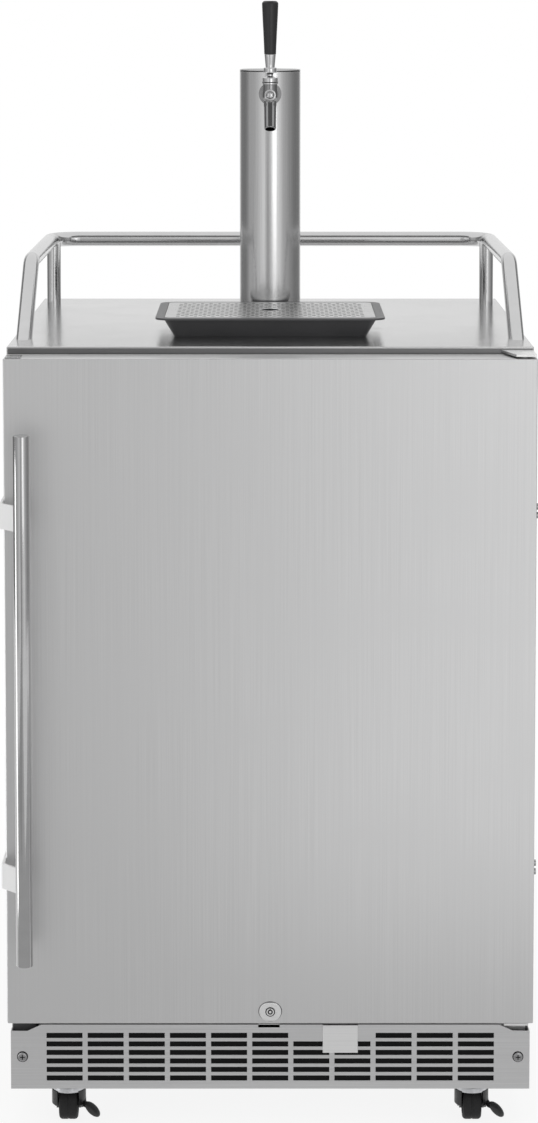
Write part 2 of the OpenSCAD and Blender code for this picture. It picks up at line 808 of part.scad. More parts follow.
// Hub with pitched blades, its axis along +Z
module blades(d, hub, h, count) {
    pitch = 35;
    chord = 0.44 * d;
    cylinder(d = hub, h = h);
    intersection() {
        cylinder(d = d, h = h);
        for (i = [0 : count - 1])
            rotate([0, 0, 360 / count * i]) translate([0, 0, h / 2]) rotate([pitch, 0, 0])
                translate([0, -chord / 2, -fin_t / 2]) cube([d, chord, fin_t]);
    }
}

module circulation_fan() {
    depth = motor_d * 0.45;
    shaft_l = motor_d / 2 - 2 * evap_wall;
    color("dimgray") translate([0, evap_y + motor_d / 2 + face_gap, circ_z]) rotate([-90, 0, 0]) {
        blades(circ_d - 2 * blade_gap, motor_d, depth, 5);
        translate([0, 0, -shaft_l]) cylinder(d = shaft_d, h = shaft_l + eps);
    }
}

module thermostat_housing() {
    color("whitesmoke") difference() {
        span([cav_x - stat_d, cav_x], stat_y, stat_z);
        rod_x(stat_shaft_d + 2 * run_gap, [cav_x - stat_d - eps, cav_x - stat_shaft_d],
            stat_mid[0], stat_mid[1]);
    }
}

module thermostat_knob() {
    face = cav_x - stat_d - face_gap;
    half = stat_knob_d / 2 - eps;
    color("dimgray") {
        rod_x(stat_knob_d, [face - stat_knob_l, face], stat_mid[0], stat_mid[1]);
        rod_x(stat_shaft_d, [face - eps, cav_x - stat_shaft_d - eps], stat_mid[0], stat_mid[1]);
        translate([0, stat_mid[0], stat_mid[1]])
            span([face - stat_knob_l - stat_grip, face - eps], [-stat_grip / 2, stat_grip / 2],
                [-half, half]);
    }
}

// Sealed compressor on its foot plate, and the four rubber feet
module compressor() {
    r = comp_d / 2;
    foot_x = r * 1.17;
    foot_y = r * 0.65;
    plate = [-3, 1];
    stud_d = 8;
    box_z = [comp_h * 0.27, comp_h * 0.64];
    box_y = comp_round;
    box_x = r * 1.65;
    color("dimgray") translate([comp_x, comp_y, comp_z]) {
        rotate_extrude() polygon(concat(
            [[0, 0]],
            [for (a = [0 : 15 : 90]) [r - comp_round * (1 - sin(a)), comp_round * (1 - cos(a))]],
            [for (a = [0 : 15 : 90]) [r - comp_round * (1 - cos(a)), comp_h - comp_round * (1 - sin(a))]],
            [[0, comp_h]]
        ));
        span([r / 2, box_x], [-box_y, box_y], box_z);
        difference() {
            span([-foot_x - stud_d, foot_x + stud_d], [-foot_y - stud_d, foot_y + stud_d], plate);
            for (x = [-foot_x, foot_x], y = [-foot_y, foot_y])
                rod_z(stud_d, x, y, [plate[0] - eps, plate[1] + eps]);
        }
    }
    color("black") for (x = [-foot_x, foot_x], y = [-foot_y, foot_y])
        translate([comp_x + x, comp_y + y, pan_z + pan_t]) {
            cylinder(d = 2 * stud_d, h = comp_foot + plate[0] - panel_gap);
            cylinder(d = stud_d - 2 * run_gap, h = comp_foot + stud_d);
        }
}

// Flat coil of tubes and fins under the chamber
module condenser() {
    fins = 16;
    runs = 5;
    half = cond_w / 2;
    run_x = half - 3 * pipe_d;
    color("dimgray") {
        for (i = [0 : fins - 1])
            translate([0, cond_y[0] + i * (cond_y[1] - cond_y[0]) / (fins - 1), 0])
                span([-half, half], [-fin_t / 2, fin_t / 2], cond_z);
        for (i = [0 : runs - 1])
            rod_y(pipe_d, run_x * (2 * i / (runs - 1) - 1),
                [cond_y[0] - pipe_over, cond_y[1] + pipe_over], cond_mid);
    }
}

module condenser_fan_shroud() {
    half = fan_d / 2 + shroud_rim;
    y = [comp_y - half, comp_y + half];
    x = [-fan_x - shroud_d / 2, -fan_x + shroud_d / 2];
    color("black") difference() {
        union() {
            difference() {
                span(x, y, [pan_z + pan_t, fan_z + half]);
                rod_x(fan_d, [x[0] - eps, x[1] + eps], comp_y, fan_z);
            }
            span([x[1] - shaft_d, x[1]], y, [fan_z - shaft_d, fan_z + shaft_d]);
            rod_x(motor_d, [x[1] - shaft_d - eps, x[1]], comp_y, fan_z);
        }
        rod_x(shaft_d + 2 * run_gap, [x[0], x[1] - eps], comp_y, fan_z);
    }
}

module condenser_fan() {
    shaft_l = shaft_d - eps;
    back = -fan_x + shroud_d / 2 - shaft_d - eps - face_gap;
    color("gray") translate([back, comp_y, fan_z]) rotate([0, -90, 0]) {
        blades(fan_d - 2 * blade_gap, motor_d, shroud_d - 2 * shaft_d, 5);
        translate([0, 0, -shaft_l]) cylinder(d = shaft_d, h = shaft_l + eps);
    }
}

// Discharge tube from the compressor's side to the condenser's middle run
module discharge_tube() {
    color("peru") translate([0, 0, cond_mid]) {
        rod_y(pipe_d, 0, [cond_y[1] + pipe_over + face_gap, comp_y - pipe_bend], 0);
        translate([pipe_bend, comp_y - pipe_bend, 0]) rotate([0, 0, 90]) bend(pipe_d, pipe_bend);
        rod_x(pipe_d, [pipe_bend, comp_x - comp_d / 2 - face_gap], comp_y, 0);
    }
}

// Mains inlet and the grommet for the gas line
module rear_fittings() {
    inside = y_back - sheet;
    lip_d = grommet_d + 2 * inlet_rim;
    color("black") {
        difference() {
            union() {
                inlet_box(inlet_rim + panel_gap, [inside - inlet_rim, inside]);
                inlet_box(-panel_gap, [inside - inlet_d - 2 * inlet_rim, y_back]);
            }
            inlet_box(-inlet_rim, [y_back - inlet_d, y_back + eps]);
        }
        difference() {
            union() {
                rod_y(grommet_d - panel_gap, grommet_x, [y_back - grommet_l, y_back], grommet_z);
                rod_y(lip_d, grommet_x, [y_back - grommet_l, inside], grommet_z);
            }
            rod_y(gas_d, grommet_x, [y_back - grommet_l - eps, y_back + eps], grommet_z);
        }
    }
}

// Corner notch for a hinge leaf, on the right
module hinge_notch() {
    translate([0, y_cab + eps, 0]) rotate([90, 0, 0]) linear_extrude(y_cab - grille_face + 2 * eps)
        polygon([
            [hw + eps, grille_z + eps], [hw - notch_w, grille_z + eps], [hw - notch_w, grille_z],
            [hw - notch_low_w, grille_z - notch_h], [hw + eps, grille_z - notch_h]
        ]);
}

// True where the cover plate takes the place of a slot in the upper row
function covered(col, row) =
    row == slot_rows - 1 && abs(slot_x0 + slot_w / 2 + col * slot_dx - cover_x + cover_w / 4) < slot_dx;

module kick_grille() {
    edge = hw - panel_gap;
    y = [grille_face, y_cab - panel_gap];
    low = skirt_z + slot_z0 - slot_h / 2;
    color("lightgray") difference() {
        union() {
            span([-edge, edge], [grille_face, grille_face + sheet], [skirt_z, grille_z]);
            for (side = [0, 1]) mirror([side, 0, 0])
                span([edge - sheet, edge], y, [skirt_z, grille_z]);
            span([-edge, edge], y, [grille_z - sheet, grille_z]);
        }
        for (col = [0 : slot_cols - 1], row = [0 : slot_rows - 1])
            if (!covered(col, row))
                translate([slot_x0 + col * slot_dx, grille_face - eps, low + row * slot_dz])
                    cube([slot_w, sheet + 2 * eps, slot_h]);
        span([-cam_w / 2 - eps, cam_sweep + eps], [y_inner - cam_t, y_cab - cam_t],
            [grille_z - 2 * sheet, grille_z + eps]);
        for (side = [0, 1]) mirror([side, 0, 0]) hinge_notch();
    }
}

// Screen that covers the slots from behind
module dust_screen() {
    x = screen_over - slot_x0;
    back = grille_face + sheet;
    mid = skirt_z + slot_z0;
    reach = slot_h / 2 + screen_over;
    color("black") span([-x, x], [back, back + screen_t],
        [mid - reach, mid + (slot_rows - 1) * slot_dz + reach]);
}

module cabinet_screws() {
    z = (skirt_z + grille_z) / 2;
    color("silver") {
        for (side = [-1, 1])
            rod_y(screw_d, side * (hw - screw_in), [grille_face - screw_h, grille_face], z);
        for (i = [0 : 3]) rotate_at_tower(45 + 90 * i)
            translate([base_d / 2 - base_screw_in, 0, top_z + base_h])
                cylinder(d = base_screw_d, h = base_screw_d / 3);
    }
}

// Children turned about the tower's axis
module rotate_at_tower(a) {
    translate([0, tower_y, 0]) rotate([0, 0, a]) children();
}

module cover_plate() {
    x = [cover_x - cover_w / 2, cover_x + cover_w / 2];
    color("whitesmoke") span(x, [grille_face - cover_t, grille_face], [grille_z - cover_h, grille_z]);
}

module top_hinge() {
    edge = hw - leaf_in;
    front = y_door + leaf_in;
    leaf = [hw - seal_inset + leaf_seal_gap, side_x];
    color("silver") {
        translate([0, 0, hinge_high]) linear_extrude(hinge_t)
            polygon([[leaf_x, y_cab], [hw - leaf_front_w, front], [edge, front], [edge, y_cab]]);
        span(leaf, [y_cab - hinge_t, y_cab], [door_top - leaf_h, hinge_high + hinge_t]);
        rod_z(pin_d, hinge_pos[0], hinge_pos[1], [door_top - bush_l + pin_short, hinge_high + hinge_t]);
    }
}

module bottom_hinge() {
    x = [leaf_x + leaf_low_in, hw - leaf_low_in];
    color("silver") {
        span(x, [y_cab - hinge_t, y_cab], [hinge_low - leaf_low_h, hinge_low + hinge_t]);
        span(x, [y_door + leaf_low_back, y_cab], [hinge_low, hinge_low + hinge_t]);
        rod_z(pin_d, hinge_pos[0], hinge_pos[1], [hinge_low, door_z + bush_l - pin_short]);
    }
}

// Leaning front leg, bend and side bar of the guard rail, on the right
module rail_side() {
    under = 2 * rail_d;
    difference() {
        translate([rail_x, post_front, top_z]) rotate([leg_angle - 90, 0, 0])
            translate([0, 0, -rail_d]) cylinder(d = leg_d, h = rail_d + leg_l);
        translate([rail_x, post_front, top_z])
            span([-under, under], [-2 * under, under], [-under, 0]);
    }
    translate([rail_x, bend_y, rail_z - rail_bend]) rotate([90, 0, 90]) rotate([0, 0, 90])
        bend(rail_d, rail_bend, leg_angle);
    rod_y(rail_d, rail_x, [bend_y, side_back - panel_gap / 2], rail_z);
}

module guard_rail_left() {
    color("silver") mirror([1, 0, 0]) rail_side();
}

module guard_rail_right() {
    color("silver") rail_side();
}

// Rear bar with its corner bends and the two rear posts
module guard_rail_rear() {
    color("silver") {
        rod_x(rail_d, [-rail_x + rail_bend, rail_x - rail_bend], bar_back, rail_z);
        for (side = [0, 1]) mirror([side, 0, 0]) {
            translate([rail_x - rail_bend, side_end, rail_z]) bend(rail_d, rail_bend);
            rod_y(rail_d, rail_x, [side_back + panel_gap / 2, side_end], rail_z);
            rod_z(rail_d - 1, rail_x - rail_bend * (1 - cos(post_turn)),
                side_end + rail_bend * sin(post_turn), [top_z, rail_z]);
        }
    }
}

module tower_column() {
    color("silver") difference() {
        rod_z(tower_d, 0, tower_y, [top_z + base_h, tower_top - cap_h / 2]);
        rod_z(tower_d - 2 * tower_wall, 0, tower_y, [top_z, tower_top + eps]);
        rod_y(shank_d + 2 * run_gap, 0, [tower_face - eps, tower_y], tap_z);
    }
}

// Cap with a rounded rim and a plug that seats in the column
module tower_cap() {
    r = tower_d / 2;
    rim = cap_h / 2;
    dish_r = r - 2 * rim;
    plug_r = r - tower_wall - run_gap;
    color("gainsboro") translate([0, tower_y, tower_top - rim]) rotate_extrude() polygon(concat(
        [[0, 0], [0, -cap_h], [plug_r, -cap_h], [plug_r, 0]],
        [for (a = [0 : 15 : 90]) [r - rim + rim * cos(a), rim * sin(a)]],
        [[dish_r, rim], [dish_r - cap_dish, rim - cap_dish], [0, rim - cap_dish]]
    ));
}

module tower_flange() {
    spigot_d = tower_d - 2 * tower_wall - 2 * run_gap;
    spigot_z = top_z + base_h + spigot_h;
    color("silver") difference() {
        union() {
            rod_z(base_d, 0, tower_y, [top_z, top_z + base_h]);
            rod_z(spigot_d, 0, tower_y, [top_z, spigot_z]);
        }
        rod_z(riser_d - 2 * tower_wall, 0, tower_y, [top_z - eps, spigot_z + eps]);
        span([-base_d, base_d], [tower_y - base_d, tray_back + eps], [top_z - eps, top_z + base_h + eps]);
    }
}

// Shank through the tower's wall, its nut inside and the coupling collar outside
module tap_shank() {
    bore = valve_d + 5;
    inside = tower_face + tower_wall + shank_flange_t;
    nut_y = [inside, inside + shank_nut_t];
    neck_d = body_d - 4 + 2 * run_gap;
    color("silver") {
        difference() {
            union() {
                rod_y(shank_d, 0, [shank_front, shank_back], tap_z);
                rod_y(shank_flange_d, 0, [tower_face - shank_flange_t, inside - eps], tap_z);
            }
            difference() {
                rod_z(tower_d + panel_gap, 0, tower_y, [tap_z - tower_d, tap_z + tower_d]);
                rod_y(shank_d, 0, [shank_front, shank_back], tap_z);
            }
            rod_y(bore, 0, [shank_front - eps, shank_back + eps], tap_z);
        }
        difference() {
            rod_y(shank_flange_d, 0, nut_y, tap_z);
            rod_y(shank_d + 2 * run_gap, 0, [nut_y[0] - eps, nut_y[1] + eps], tap_z);
        }
        difference() {
            rod_y(collar_d, 0, collar_y, tap_z);
            rod_y(shank_d + 2 * run_gap, 0, [shank_front - face_gap, collar_y[1] + eps], tap_z);
            rod_y(neck_d, 0, [collar_y[0] - eps, shank_front], tap_z);
        }
    }
}

module tap_body() {
    tail = shank_front - face_gap;
    front = pivot_y - body_d / 2;
    color("silver") difference() {
        union() {
            rod_y(body_d, 0, [front - 2, collar_y[0] - face_gap], tap_z);
            rod_y(body_d - 4, 0, [collar_y[0] - eps, tail], tap_z);
            rod_z(body_d, 0, pivot_y, [tap_z, bonnet_z]);
            spout(spout_d, spout_l);
        }
        rod_z(chamber_d, 0, pivot_y, [tap_z - 4, pivot_z]);
        rod_y(valve_d + 2 * run_gap, 0, [front + eps, pivot_y], tap_z);
        rod_y(valve_d + 4, 0, [pivot_y, tail + eps], tap_z);
        spout(spout_bore, spout_l + eps);
    }
}

// A round bar along the spout
module spout(d, l) {
    translate([0, pivot_y + 6, tap_z]) rotate([-spout_tilt, 0, 0]) translate([0, 0, -l])
        cylinder(d = d, h = l);
}

module tap_bonnet() {
    top = pivot_z + bonnet_top;
    step = 1.5;
    color("silver") difference() {
        union() {
            rod_z(bonnet_d, 0, pivot_y, [bonnet_z, top - step]);
            rod_z(bonnet_d - 2 * step, 0, pivot_y, [bonnet_z, top]);
        }
        translate([0, pivot_y, pivot_z]) sphere(d = chamber_d);
        rod_z(chamber_d, 0, pivot_y, [bonnet_z - eps, pivot_z]);
        rod_z(stem_d + 6, 0, pivot_y, [pivot_z, top + eps]);
        rod_x(pivot_pin_d + 2 * run_gap, [-bonnet_d, bonnet_d], pivot_y, pivot_z);
    }
}

// Ball lever with its pivot pin, finger, collar and ferrule
module tap_lever() {
    pin_x = bonnet_d / 2 - face_gap;
    color("silver") {
        translate([0, pivot_y, pivot_z]) sphere(d = ball_d);
        rod_x(pivot_pin_d, [-pin_x, pin_x], pivot_y, pivot_z);
        rod_z(finger_d, 0, pivot_y, [tap_z - finger_d / 2, pivot_z]);
        rod_z(stem_d, 0, pivot_y, [pivot_z, knob_z + stem_l]);
        rod_z(ferrule_d - 3, 0, pivot_y, [nut_z, ferrule_z]);
        rod_z(ferrule_d, 0, pivot_y, [ferrule_z, knob_z]);
    }
}

// Tapered handle with a rounded top
module tap_handle() {
    r0 = knob_d0 / 2;
    r1 = knob_d1 / 2;
    round_r = 4;
    color("black") translate([0, pivot_y, knob_z]) difference() {
        rotate_extrude() polygon(concat(
            [[0, 0], [r0, 0]],
            [for (a = [0 : 15 : 90]) [r1 - round_r * (1 - cos(a)), knob_h - round_r * (1 - sin(a))]],
            [[0, knob_h]]
        ));
        translate([0, 0, -eps]) cylinder(d = stem_d + 2 * run_gap, h = stem_l + eps + panel_gap);
    }
}

// Valve rod with its slot for the lever's finger and its washer
module tap_valve() {
    front = pivot_y - body_d / 2 + eps + face_gap;
    rear = tower_face - valve_d + eps;
    slot_x = finger_d / 2 + 0.5;
    slot_y = finger_d / 2 + 2.2;
    color("dimgray") difference() {
        union() {
            rod_y(valve_d, 0, [front, pivot_y + valve_d - eps], tap_z);
            rod_y(valve_d - 3, 0, [pivot_y, rear], tap_z);
            rod_y(valve_d + 2, 0, [rear - finger_d, rear], tap_z);
        }
        span([-slot_x, slot_x], [pivot_y - slot_y, pivot_y + slot_y], [tap_z - 3, tap_z + valve_d]);
    }
}

// Tray with leaning walls and a flat rim that seats the grid
module drip_tray() {
    wall_top = tray_z - rim_t;
    x1 = tray_w / 2 - tray_lip;
    x0 = x1 - tray_lean;
    y1 = [tray_front + tray_lip, tray_back - tray_lip];
    y0 = [y1[0] + tray_lean, y1[1] - tray_lean];
    in_x = grid_w / 2 - tray_lip / 2;
    seat_x = grid_w / 2 + grid_gap;
    in_y = [grid_y[0] + tray_lip / 2, grid_y[1] - tray_lip / 2];
    w = tray_wall;
    color("dimgray") difference() {
        union() {
            lean_box([-x0, x0], y0, top_z, [-x1, x1], y1, wall_top);
            span([-tray_w / 2, tray_w / 2], [tray_front, tray_back], [wall_top, tray_z]);
        }
        lean_box([-x0 + w, x0 - w], [y0[0] + w, y0[1] - w], top_z + w,
            [-in_x, in_x], in_y, tray_z + eps);
        span([-seat_x, seat_x], [grid_y[0] - grid_gap, grid_y[1] + grid_gap], [grid_z, tray_z + eps]);
    }
}

module drip_grid() {
    mid = (grid_y[0] + grid_y[1]) / 2;
    color("silver") translate([0, mid, grid_z]) linear_extrude(grid_t) difference() {
        square([grid_w, grid_y[1] - grid_y[0]], center = true);
        for (row = [0 : hole_rows - 1], col = [0 : hole_cols - 1 - row % 2]) {
            x = (col - (hole_cols - 1 - row % 2) / 2) * hole_dx;
            y = (row - (hole_rows - 1) / 2) * hole_dy;
            if (norm([x, y]) > finger_hole_d / 2 + hole_d)
                translate([x, y]) circle(d = hole_d, $fn = 16);
        }
        circle(d = finger_hole_d);
    }
}

// Round holes in the door for the hinge bushes and the lock
module door_holes(grow) {
    left = [-hw - bracket_t - eps, plug_depth - hw];
    right = [hw - plug_depth, hw + eps];
    for (z = [[door_z - eps, door_z + bush_l], [door_top - bush_l, door_top + eps]])
        rod_z(bush_d + 2 * grow, hinge_pos[0], hinge_pos[1], z);
    rod_y(barrel_d + 2 * grow, 0, [y_door - eps, y_inner + eps], lock_z);
    for (z = edge_holes(), x = [left, right])
        rod_x(plug_d + 2 * grow, x, y_door + bracket_back / 2, z);
}

// Heights of the holes in the door's edges
function edge_holes() = [
    for (bracket = [-1, 1], hole = [-1, 1])
        handle_z + bracket * bracket_span / 2 + hole * screw_pitch / 2
];

module door_skin() {
    color("silver") difference() {
        span([-hw, hw], [y_door, y_inner - inner_t], [door_z, door_top]);
        door_hollow(y_inner);
        door_holes(run_gap);
    }
}

// The space inside the door's skin
module door_hollow(back) {
    span([sheet - hw, hw - sheet], [y_door + sheet, back], [door_z + sheet, door_top - sheet]);
}

module door_core() {
    color("khaki") difference() {
        door_hollow(y_inner - inner_t);
        door_holes(run_gap);
    }
}

module door_inner_panel() {
    color("gainsboro") difference() {
        span([-hw, hw], [y_inner - inner_t, y_inner], [door_z, door_top]);
        door_holes(run_gap);
    }
}

module door_gasket() {
    x = hw - seal_inset;
    in_x = x - seal_w;
    z = [door_z + seal_rise, door_top - seal_inset];
    color("dimgray") difference() {
        span([-x, x], [y_inner, y_inner + seal_t], z);
        span([-in_x, in_x], [y_inner - eps, y_cab + eps], [z[0] + seal_w, z[1] - seal_w]);
    }
}

module door_handle() {
    ends = [handle_z - handle_l / 2, handle_z + handle_l / 2];
    color("silver") rod_z(handle_d, handle_x, bar_y, ends);
}

// Bent plates from the door's left edge to the handle bar
module handle_brackets() {
    bend_at = [-hw - bracket_t / 2, y_door - bracket_fore];
    run = [handle_x - bend_at[0], bar_y - bend_at[1]];
    color("silver") for (side = [-1, 1]) {
        low = handle_z + side * bracket_span / 2 - bracket_h / 2;
        difference() {
            translate([0, 0, low]) linear_extrude(bracket_h) {
                translate([-hw - bracket_t, y_door - bracket_fore])
                    square([bracket_t, bracket_fore + bracket_back]);
                translate(bend_at) circle(d = bracket_t);
                translate(bend_at) rotate(atan2(run[1], run[0])) translate([0, -bracket_t / 2])
                    square([norm(run), bracket_t]);
            }
            rod_z(handle_d + 2 * run_gap, handle_x, bar_y, [low - eps, low + bracket_h + eps]);
            door_holes(run_gap);
        }
    }
}

// Bracket screws, plugs in the right edge's holes, a cap on the upper left corner, and the hinge bushes
module door_fasteners() {
    y = y_door + bracket_back / 2;
    color("silver") for (z = edge_holes()) {
        rod_x(plug_d, [-hw - bracket_t, plug_depth - hw - eps], y, z);
        rod_x(plug_d, [hw - plug_depth + eps, hw], y, z);
        rod_x(plug_d + 2, [hw, hw + plug_h], y, z);
    }
    color("silver") translate([door_cap_in - hw, y_door + door_cap_in, door_top])
        span([0, door_cap_w], [0, door_cap_d], [0, sheet]);
    color("whitesmoke") for (z = [[door_z, door_z + bush_l], [door_top - bush_l, door_top]])
        difference() {
            rod_z(bush_d, hinge_pos[0], hinge_pos[1], z);
            rod_z(pin_d + 2 * run_gap, hinge_pos[0], hinge_pos[1], [z[0] - eps, z[1] + eps]);
        }
}

// Oval plate with the lock's barrel
module lock_housing() {
    color("silver") translate([0, y_door, lock_z]) difference() {
        union() {
            rotate([90, 0, 0]) linear_extrude(lock_t) {
                for (side = [-1, 1]) translate([side * (lock_w - lock_h) / 2, 0]) circle(d = lock_h);
                square([lock_w - lock_h, lock_h], center = true);
            }
            rod_y(barrel_d, 0, [-eps, door_t], 0);
        }
        rod_y(key_d + 2 * run_gap, 0, [-lock_t - eps, door_t + eps], 0);
    }
}

// Key cylinder and the cam on its back end
module lock_cylinder() {
    cam = [door_t + cam_gap, door_t + cam_gap + cam_t];
    color("gainsboro") translate([0, y_door, lock_z]) {
        rod_y(key_d, 0, [-lock_t - panel_gap, cam[1]], 0);
        span([0, cam_l], cam, [-cam_w / 2, cam_w / 2]);
    }
}

// Each caster's swivel axis: front left, front right, rear left, rear right
function caster_spots() = [
    for (y = [front_axis, rear_axis], side = [-1, 1]) [side * caster_x, y, 0]
];

module caster_plates() {
    head_top = crown_z - face_gap;
    half = plate_w / 2;
    race_d = crown_d - 8;
    color("silver") for (spot = caster_spots()) translate(spot) {
        span([-half, half], [-half, half], [pan_z - plate_t, pan_z]);
        rod_z(race_d, 0, 0, [pan_z - plate_t - race_h, pan_z - plate_t]);
        rod_z(king_d, 0, 0, [head_top - king_head, pan_z - plate_t]);
        rod_z(king_d + 6, 0, 0, [head_top - king_head, head_top]);
    }
}

// Crown and legs of a caster's fork, and its axle
module fork(braked) {
    leg_x = [fork_x, fork_x + fork_t];
    out_x = leg_x[1] + (braked ? pedal_t + 2 * face_gap : 0);
    root = crown_d / 2 - 5;
    color("silver") {
        difference() {
            union() {
                rod_z(crown_d, 0, 0, [crown_z, crown_z + crown_t]);
                for (side = [0, 1]) mirror([side, 0, 0])
                    translate([leg_x[0], 0, 0]) rotate([90, 0, 90]) linear_extrude(fork_t) {
                        polygon([
                            [-root, crown_z + crown_t], [root, crown_z + crown_t],
                            [-trail + axle_d, axle_z - 2], [-trail - axle_d, axle_z - 2]
                        ]);
                        translate([-trail, axle_z]) circle(d = hub_d);
                    }
            }
            rod_z(king_d + 2 * run_gap, 0, 0, [0, pan_z]);
            rod_x(axle_d + 2 * run_gap, [-crown_d, crown_d], -trail, axle_z);
        }
        rod_x(axle_d, [-leg_x[1], out_x], -trail, axle_z);
        rod_x(head_d, [-leg_x[1] - axle_head, -leg_x[1]], -trail, axle_z);
        rod_x(head_d, [out_x, out_x + axle_head], -trail, axle_z);
    }
}

// Wheel with rounded shoulders and a raised hub
module wheel() {
    half = wheel_w / 2;
    dish = 2;
    dish_r = wheel_d / 2 - shoulder_r - dish;
    round_r = wheel_d / 2 - shoulder_r;
    round_x = half - shoulder_r;
    color("black") translate([0, -trail, axle_z]) rotate([0, 90, 0]) difference() {
        union() {
            rotate_extrude() polygon(concat(
                [[0, half - dish], [dish_r - eps, half - dish], [dish_r, half]],
                [for (a = [90 : -15 : 0]) [round_r + shoulder_r * cos(a), round_x + shoulder_r * sin(a)]],
                [for (a = [0 : 15 : 90]) [round_r + shoulder_r * cos(a), -round_x - shoulder_r * sin(a)]],
                [[dish_r, -half], [dish_r - eps, dish - half], [0, dish - half]]
            ));
            cylinder(d = hub_d, h = wheel_w + fork_gap, center = true);
        }
        cylinder(d = axle_d + 2 * run_gap, h = 2 * wheel_w, center = true);
    }
}

// Brake pedal that turns on the right end of a front axle
module brake() {
    hub_x = fork_x + fork_t + face_gap;
    color("black") translate([hub_x, -trail, axle_z]) difference() {
        union() {
            rod_x(hub_d, [0, pedal_t], 0, 0);
            rotate([pedal_slope, 0, 0]) {
                span([0, pedal_t], [-pedal_reach, 0], [-pedal_t, pedal_t]);
                span([0, pedal_w], [-pedal_reach, pedal_d - pedal_reach], [-pedal_t, 0]);
            }
        }
        rod_x(axle_d + 2 * run_gap, [-eps, pedal_w], 0, 0);
    }
}

module fork_front_left() {
    translate(caster_spots()[0]) fork(true);
}

module fork_front_right() {
    translate(caster_spots()[1]) fork(true);
}

module fork_rear_left() {
    translate(caster_spots()[2]) fork(false);
}

module fork_rear_right() {
    translate(caster_spots()[3]) fork(false);
}

module wheel_front_left() {
    translate(caster_spots()[0]) wheel();
}

module wheel_front_right() {
    translate(caster_spots()[1]) wheel();
}

module wheel_rear_left() {
    translate(caster_spots()[2]) wheel();
}

module wheel_rear_right() {
    translate(caster_spots()[3]) wheel();
}

module brake_front_left() {
    translate(caster_spots()[0]) brake();
}

module brake_front_right() {
    translate(caster_spots()[1]) brake();
}

worktop();
side_panel_left();
side_panel_right();
back_panel();
rear_cover();
base_pan();
face_frame();
lining();
insulation_foam();
keg_floor();
evaporator();
evaporator_cover();
circulation_fan();
thermostat_housing();
thermostat_knob();
compressor();
condenser();
condenser_fan_shroud();
condenser_fan();
discharge_tube();
rear_fittings();
kick_grille();
dust_screen();
cabinet_screws();
cover_plate();
top_hinge();
bottom_hinge();
guard_rail_left();
guard_rail_right();
guard_rail_rear();
tower_column();
tower_cap();
tower_flange();
tap_shank();
tap_body();
tap_bonnet();
tap_lever();
tap_handle();
tap_valve();
drip_tray();
drip_grid();
door_skin();
door_core();
door_inner_panel();
door_gasket();
door_handle();
handle_brackets();
door_fasteners();
lock_housing();
lock_cylinder();
caster_plates();
fork_front_left();
fork_front_right();
fork_rear_left();
fork_rear_right();
wheel_front_left();
wheel_front_right();
wheel_rear_left();
wheel_rear_right();
brake_front_left();
brake_front_right();
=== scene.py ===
"""Dresses a packed keg cooler: steel cabinet, tower with its tap, guard rail, drip tray and casters."""
import json
import math

import bmesh
import bpy
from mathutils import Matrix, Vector


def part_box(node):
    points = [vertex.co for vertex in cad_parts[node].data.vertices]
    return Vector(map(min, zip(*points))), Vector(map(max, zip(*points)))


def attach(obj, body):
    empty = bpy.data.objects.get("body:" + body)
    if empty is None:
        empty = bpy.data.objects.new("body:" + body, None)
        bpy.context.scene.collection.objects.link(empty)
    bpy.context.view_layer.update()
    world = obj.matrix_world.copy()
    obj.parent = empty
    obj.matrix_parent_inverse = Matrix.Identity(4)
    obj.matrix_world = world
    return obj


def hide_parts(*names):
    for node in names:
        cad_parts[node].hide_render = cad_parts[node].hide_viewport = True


bl_info = {
    "name": "Keg Cooler Dressing",
    "version": (1, 0, 0),
    "blender": (4, 5, 0),
    "location": "View3D > Sidebar > Keg Cooler",
    "description": "Models the finished pieces of a keg cooler around its packed solids",
    "category": "Object",
}

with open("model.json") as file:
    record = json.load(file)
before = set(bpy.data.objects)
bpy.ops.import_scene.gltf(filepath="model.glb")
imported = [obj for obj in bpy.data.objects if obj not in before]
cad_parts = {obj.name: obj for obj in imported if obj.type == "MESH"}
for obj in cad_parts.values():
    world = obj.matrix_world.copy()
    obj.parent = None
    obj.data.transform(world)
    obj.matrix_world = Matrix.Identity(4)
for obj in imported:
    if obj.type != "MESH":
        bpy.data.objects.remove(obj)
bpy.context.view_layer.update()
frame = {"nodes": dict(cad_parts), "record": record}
NODES = frame["nodes"]
RECORD = frame["record"]
SLOT_OF = {part["node"]: part["material_slot"] for part in RECORD["subparts"]}
BODY_OF = {node: body for body, nodes in RECORD["behaviour"]["bodies"].items() for node in nodes}
MM = 0.001
TINY = 1e-6
# Distances at which vertices are merged in new shapes and in copies, and at which an edge lies in a plane
CLOSE = 2 * TINY
MERGE = 10 * TINY
TOUCH = 20 * TINY
# Cosine up to which a direction counts as along an axis
ALIGNED = 0.99
# Degrees between faces that are joined as flat, and from which an edge shows as sharp
FLAT = 0.5
CREASE = 35
BEND_CREASE = 50
POST_CREASE = 40


def span(node, axis):
    """Lowest and highest coordinate of a node along an axis."""
    low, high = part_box(node)
    return low[axis], high[axis]


def middle(node):
    """Middle of a node's box."""
    low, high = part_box(node)
    return (low + high) / 2


# Selection and editing

def hold(obj, mode="OBJECT"):
    """Makes one object the only selected one, in the mode asked for."""
    if bpy.context.mode != "OBJECT":
        bpy.ops.object.mode_set(mode="OBJECT")
    bpy.ops.object.select_all(action="DESELECT")
    obj.select_set(True)
    bpy.context.view_layer.objects.active = obj
    if mode == "EDIT":
        bpy.ops.object.mode_set(mode="EDIT")


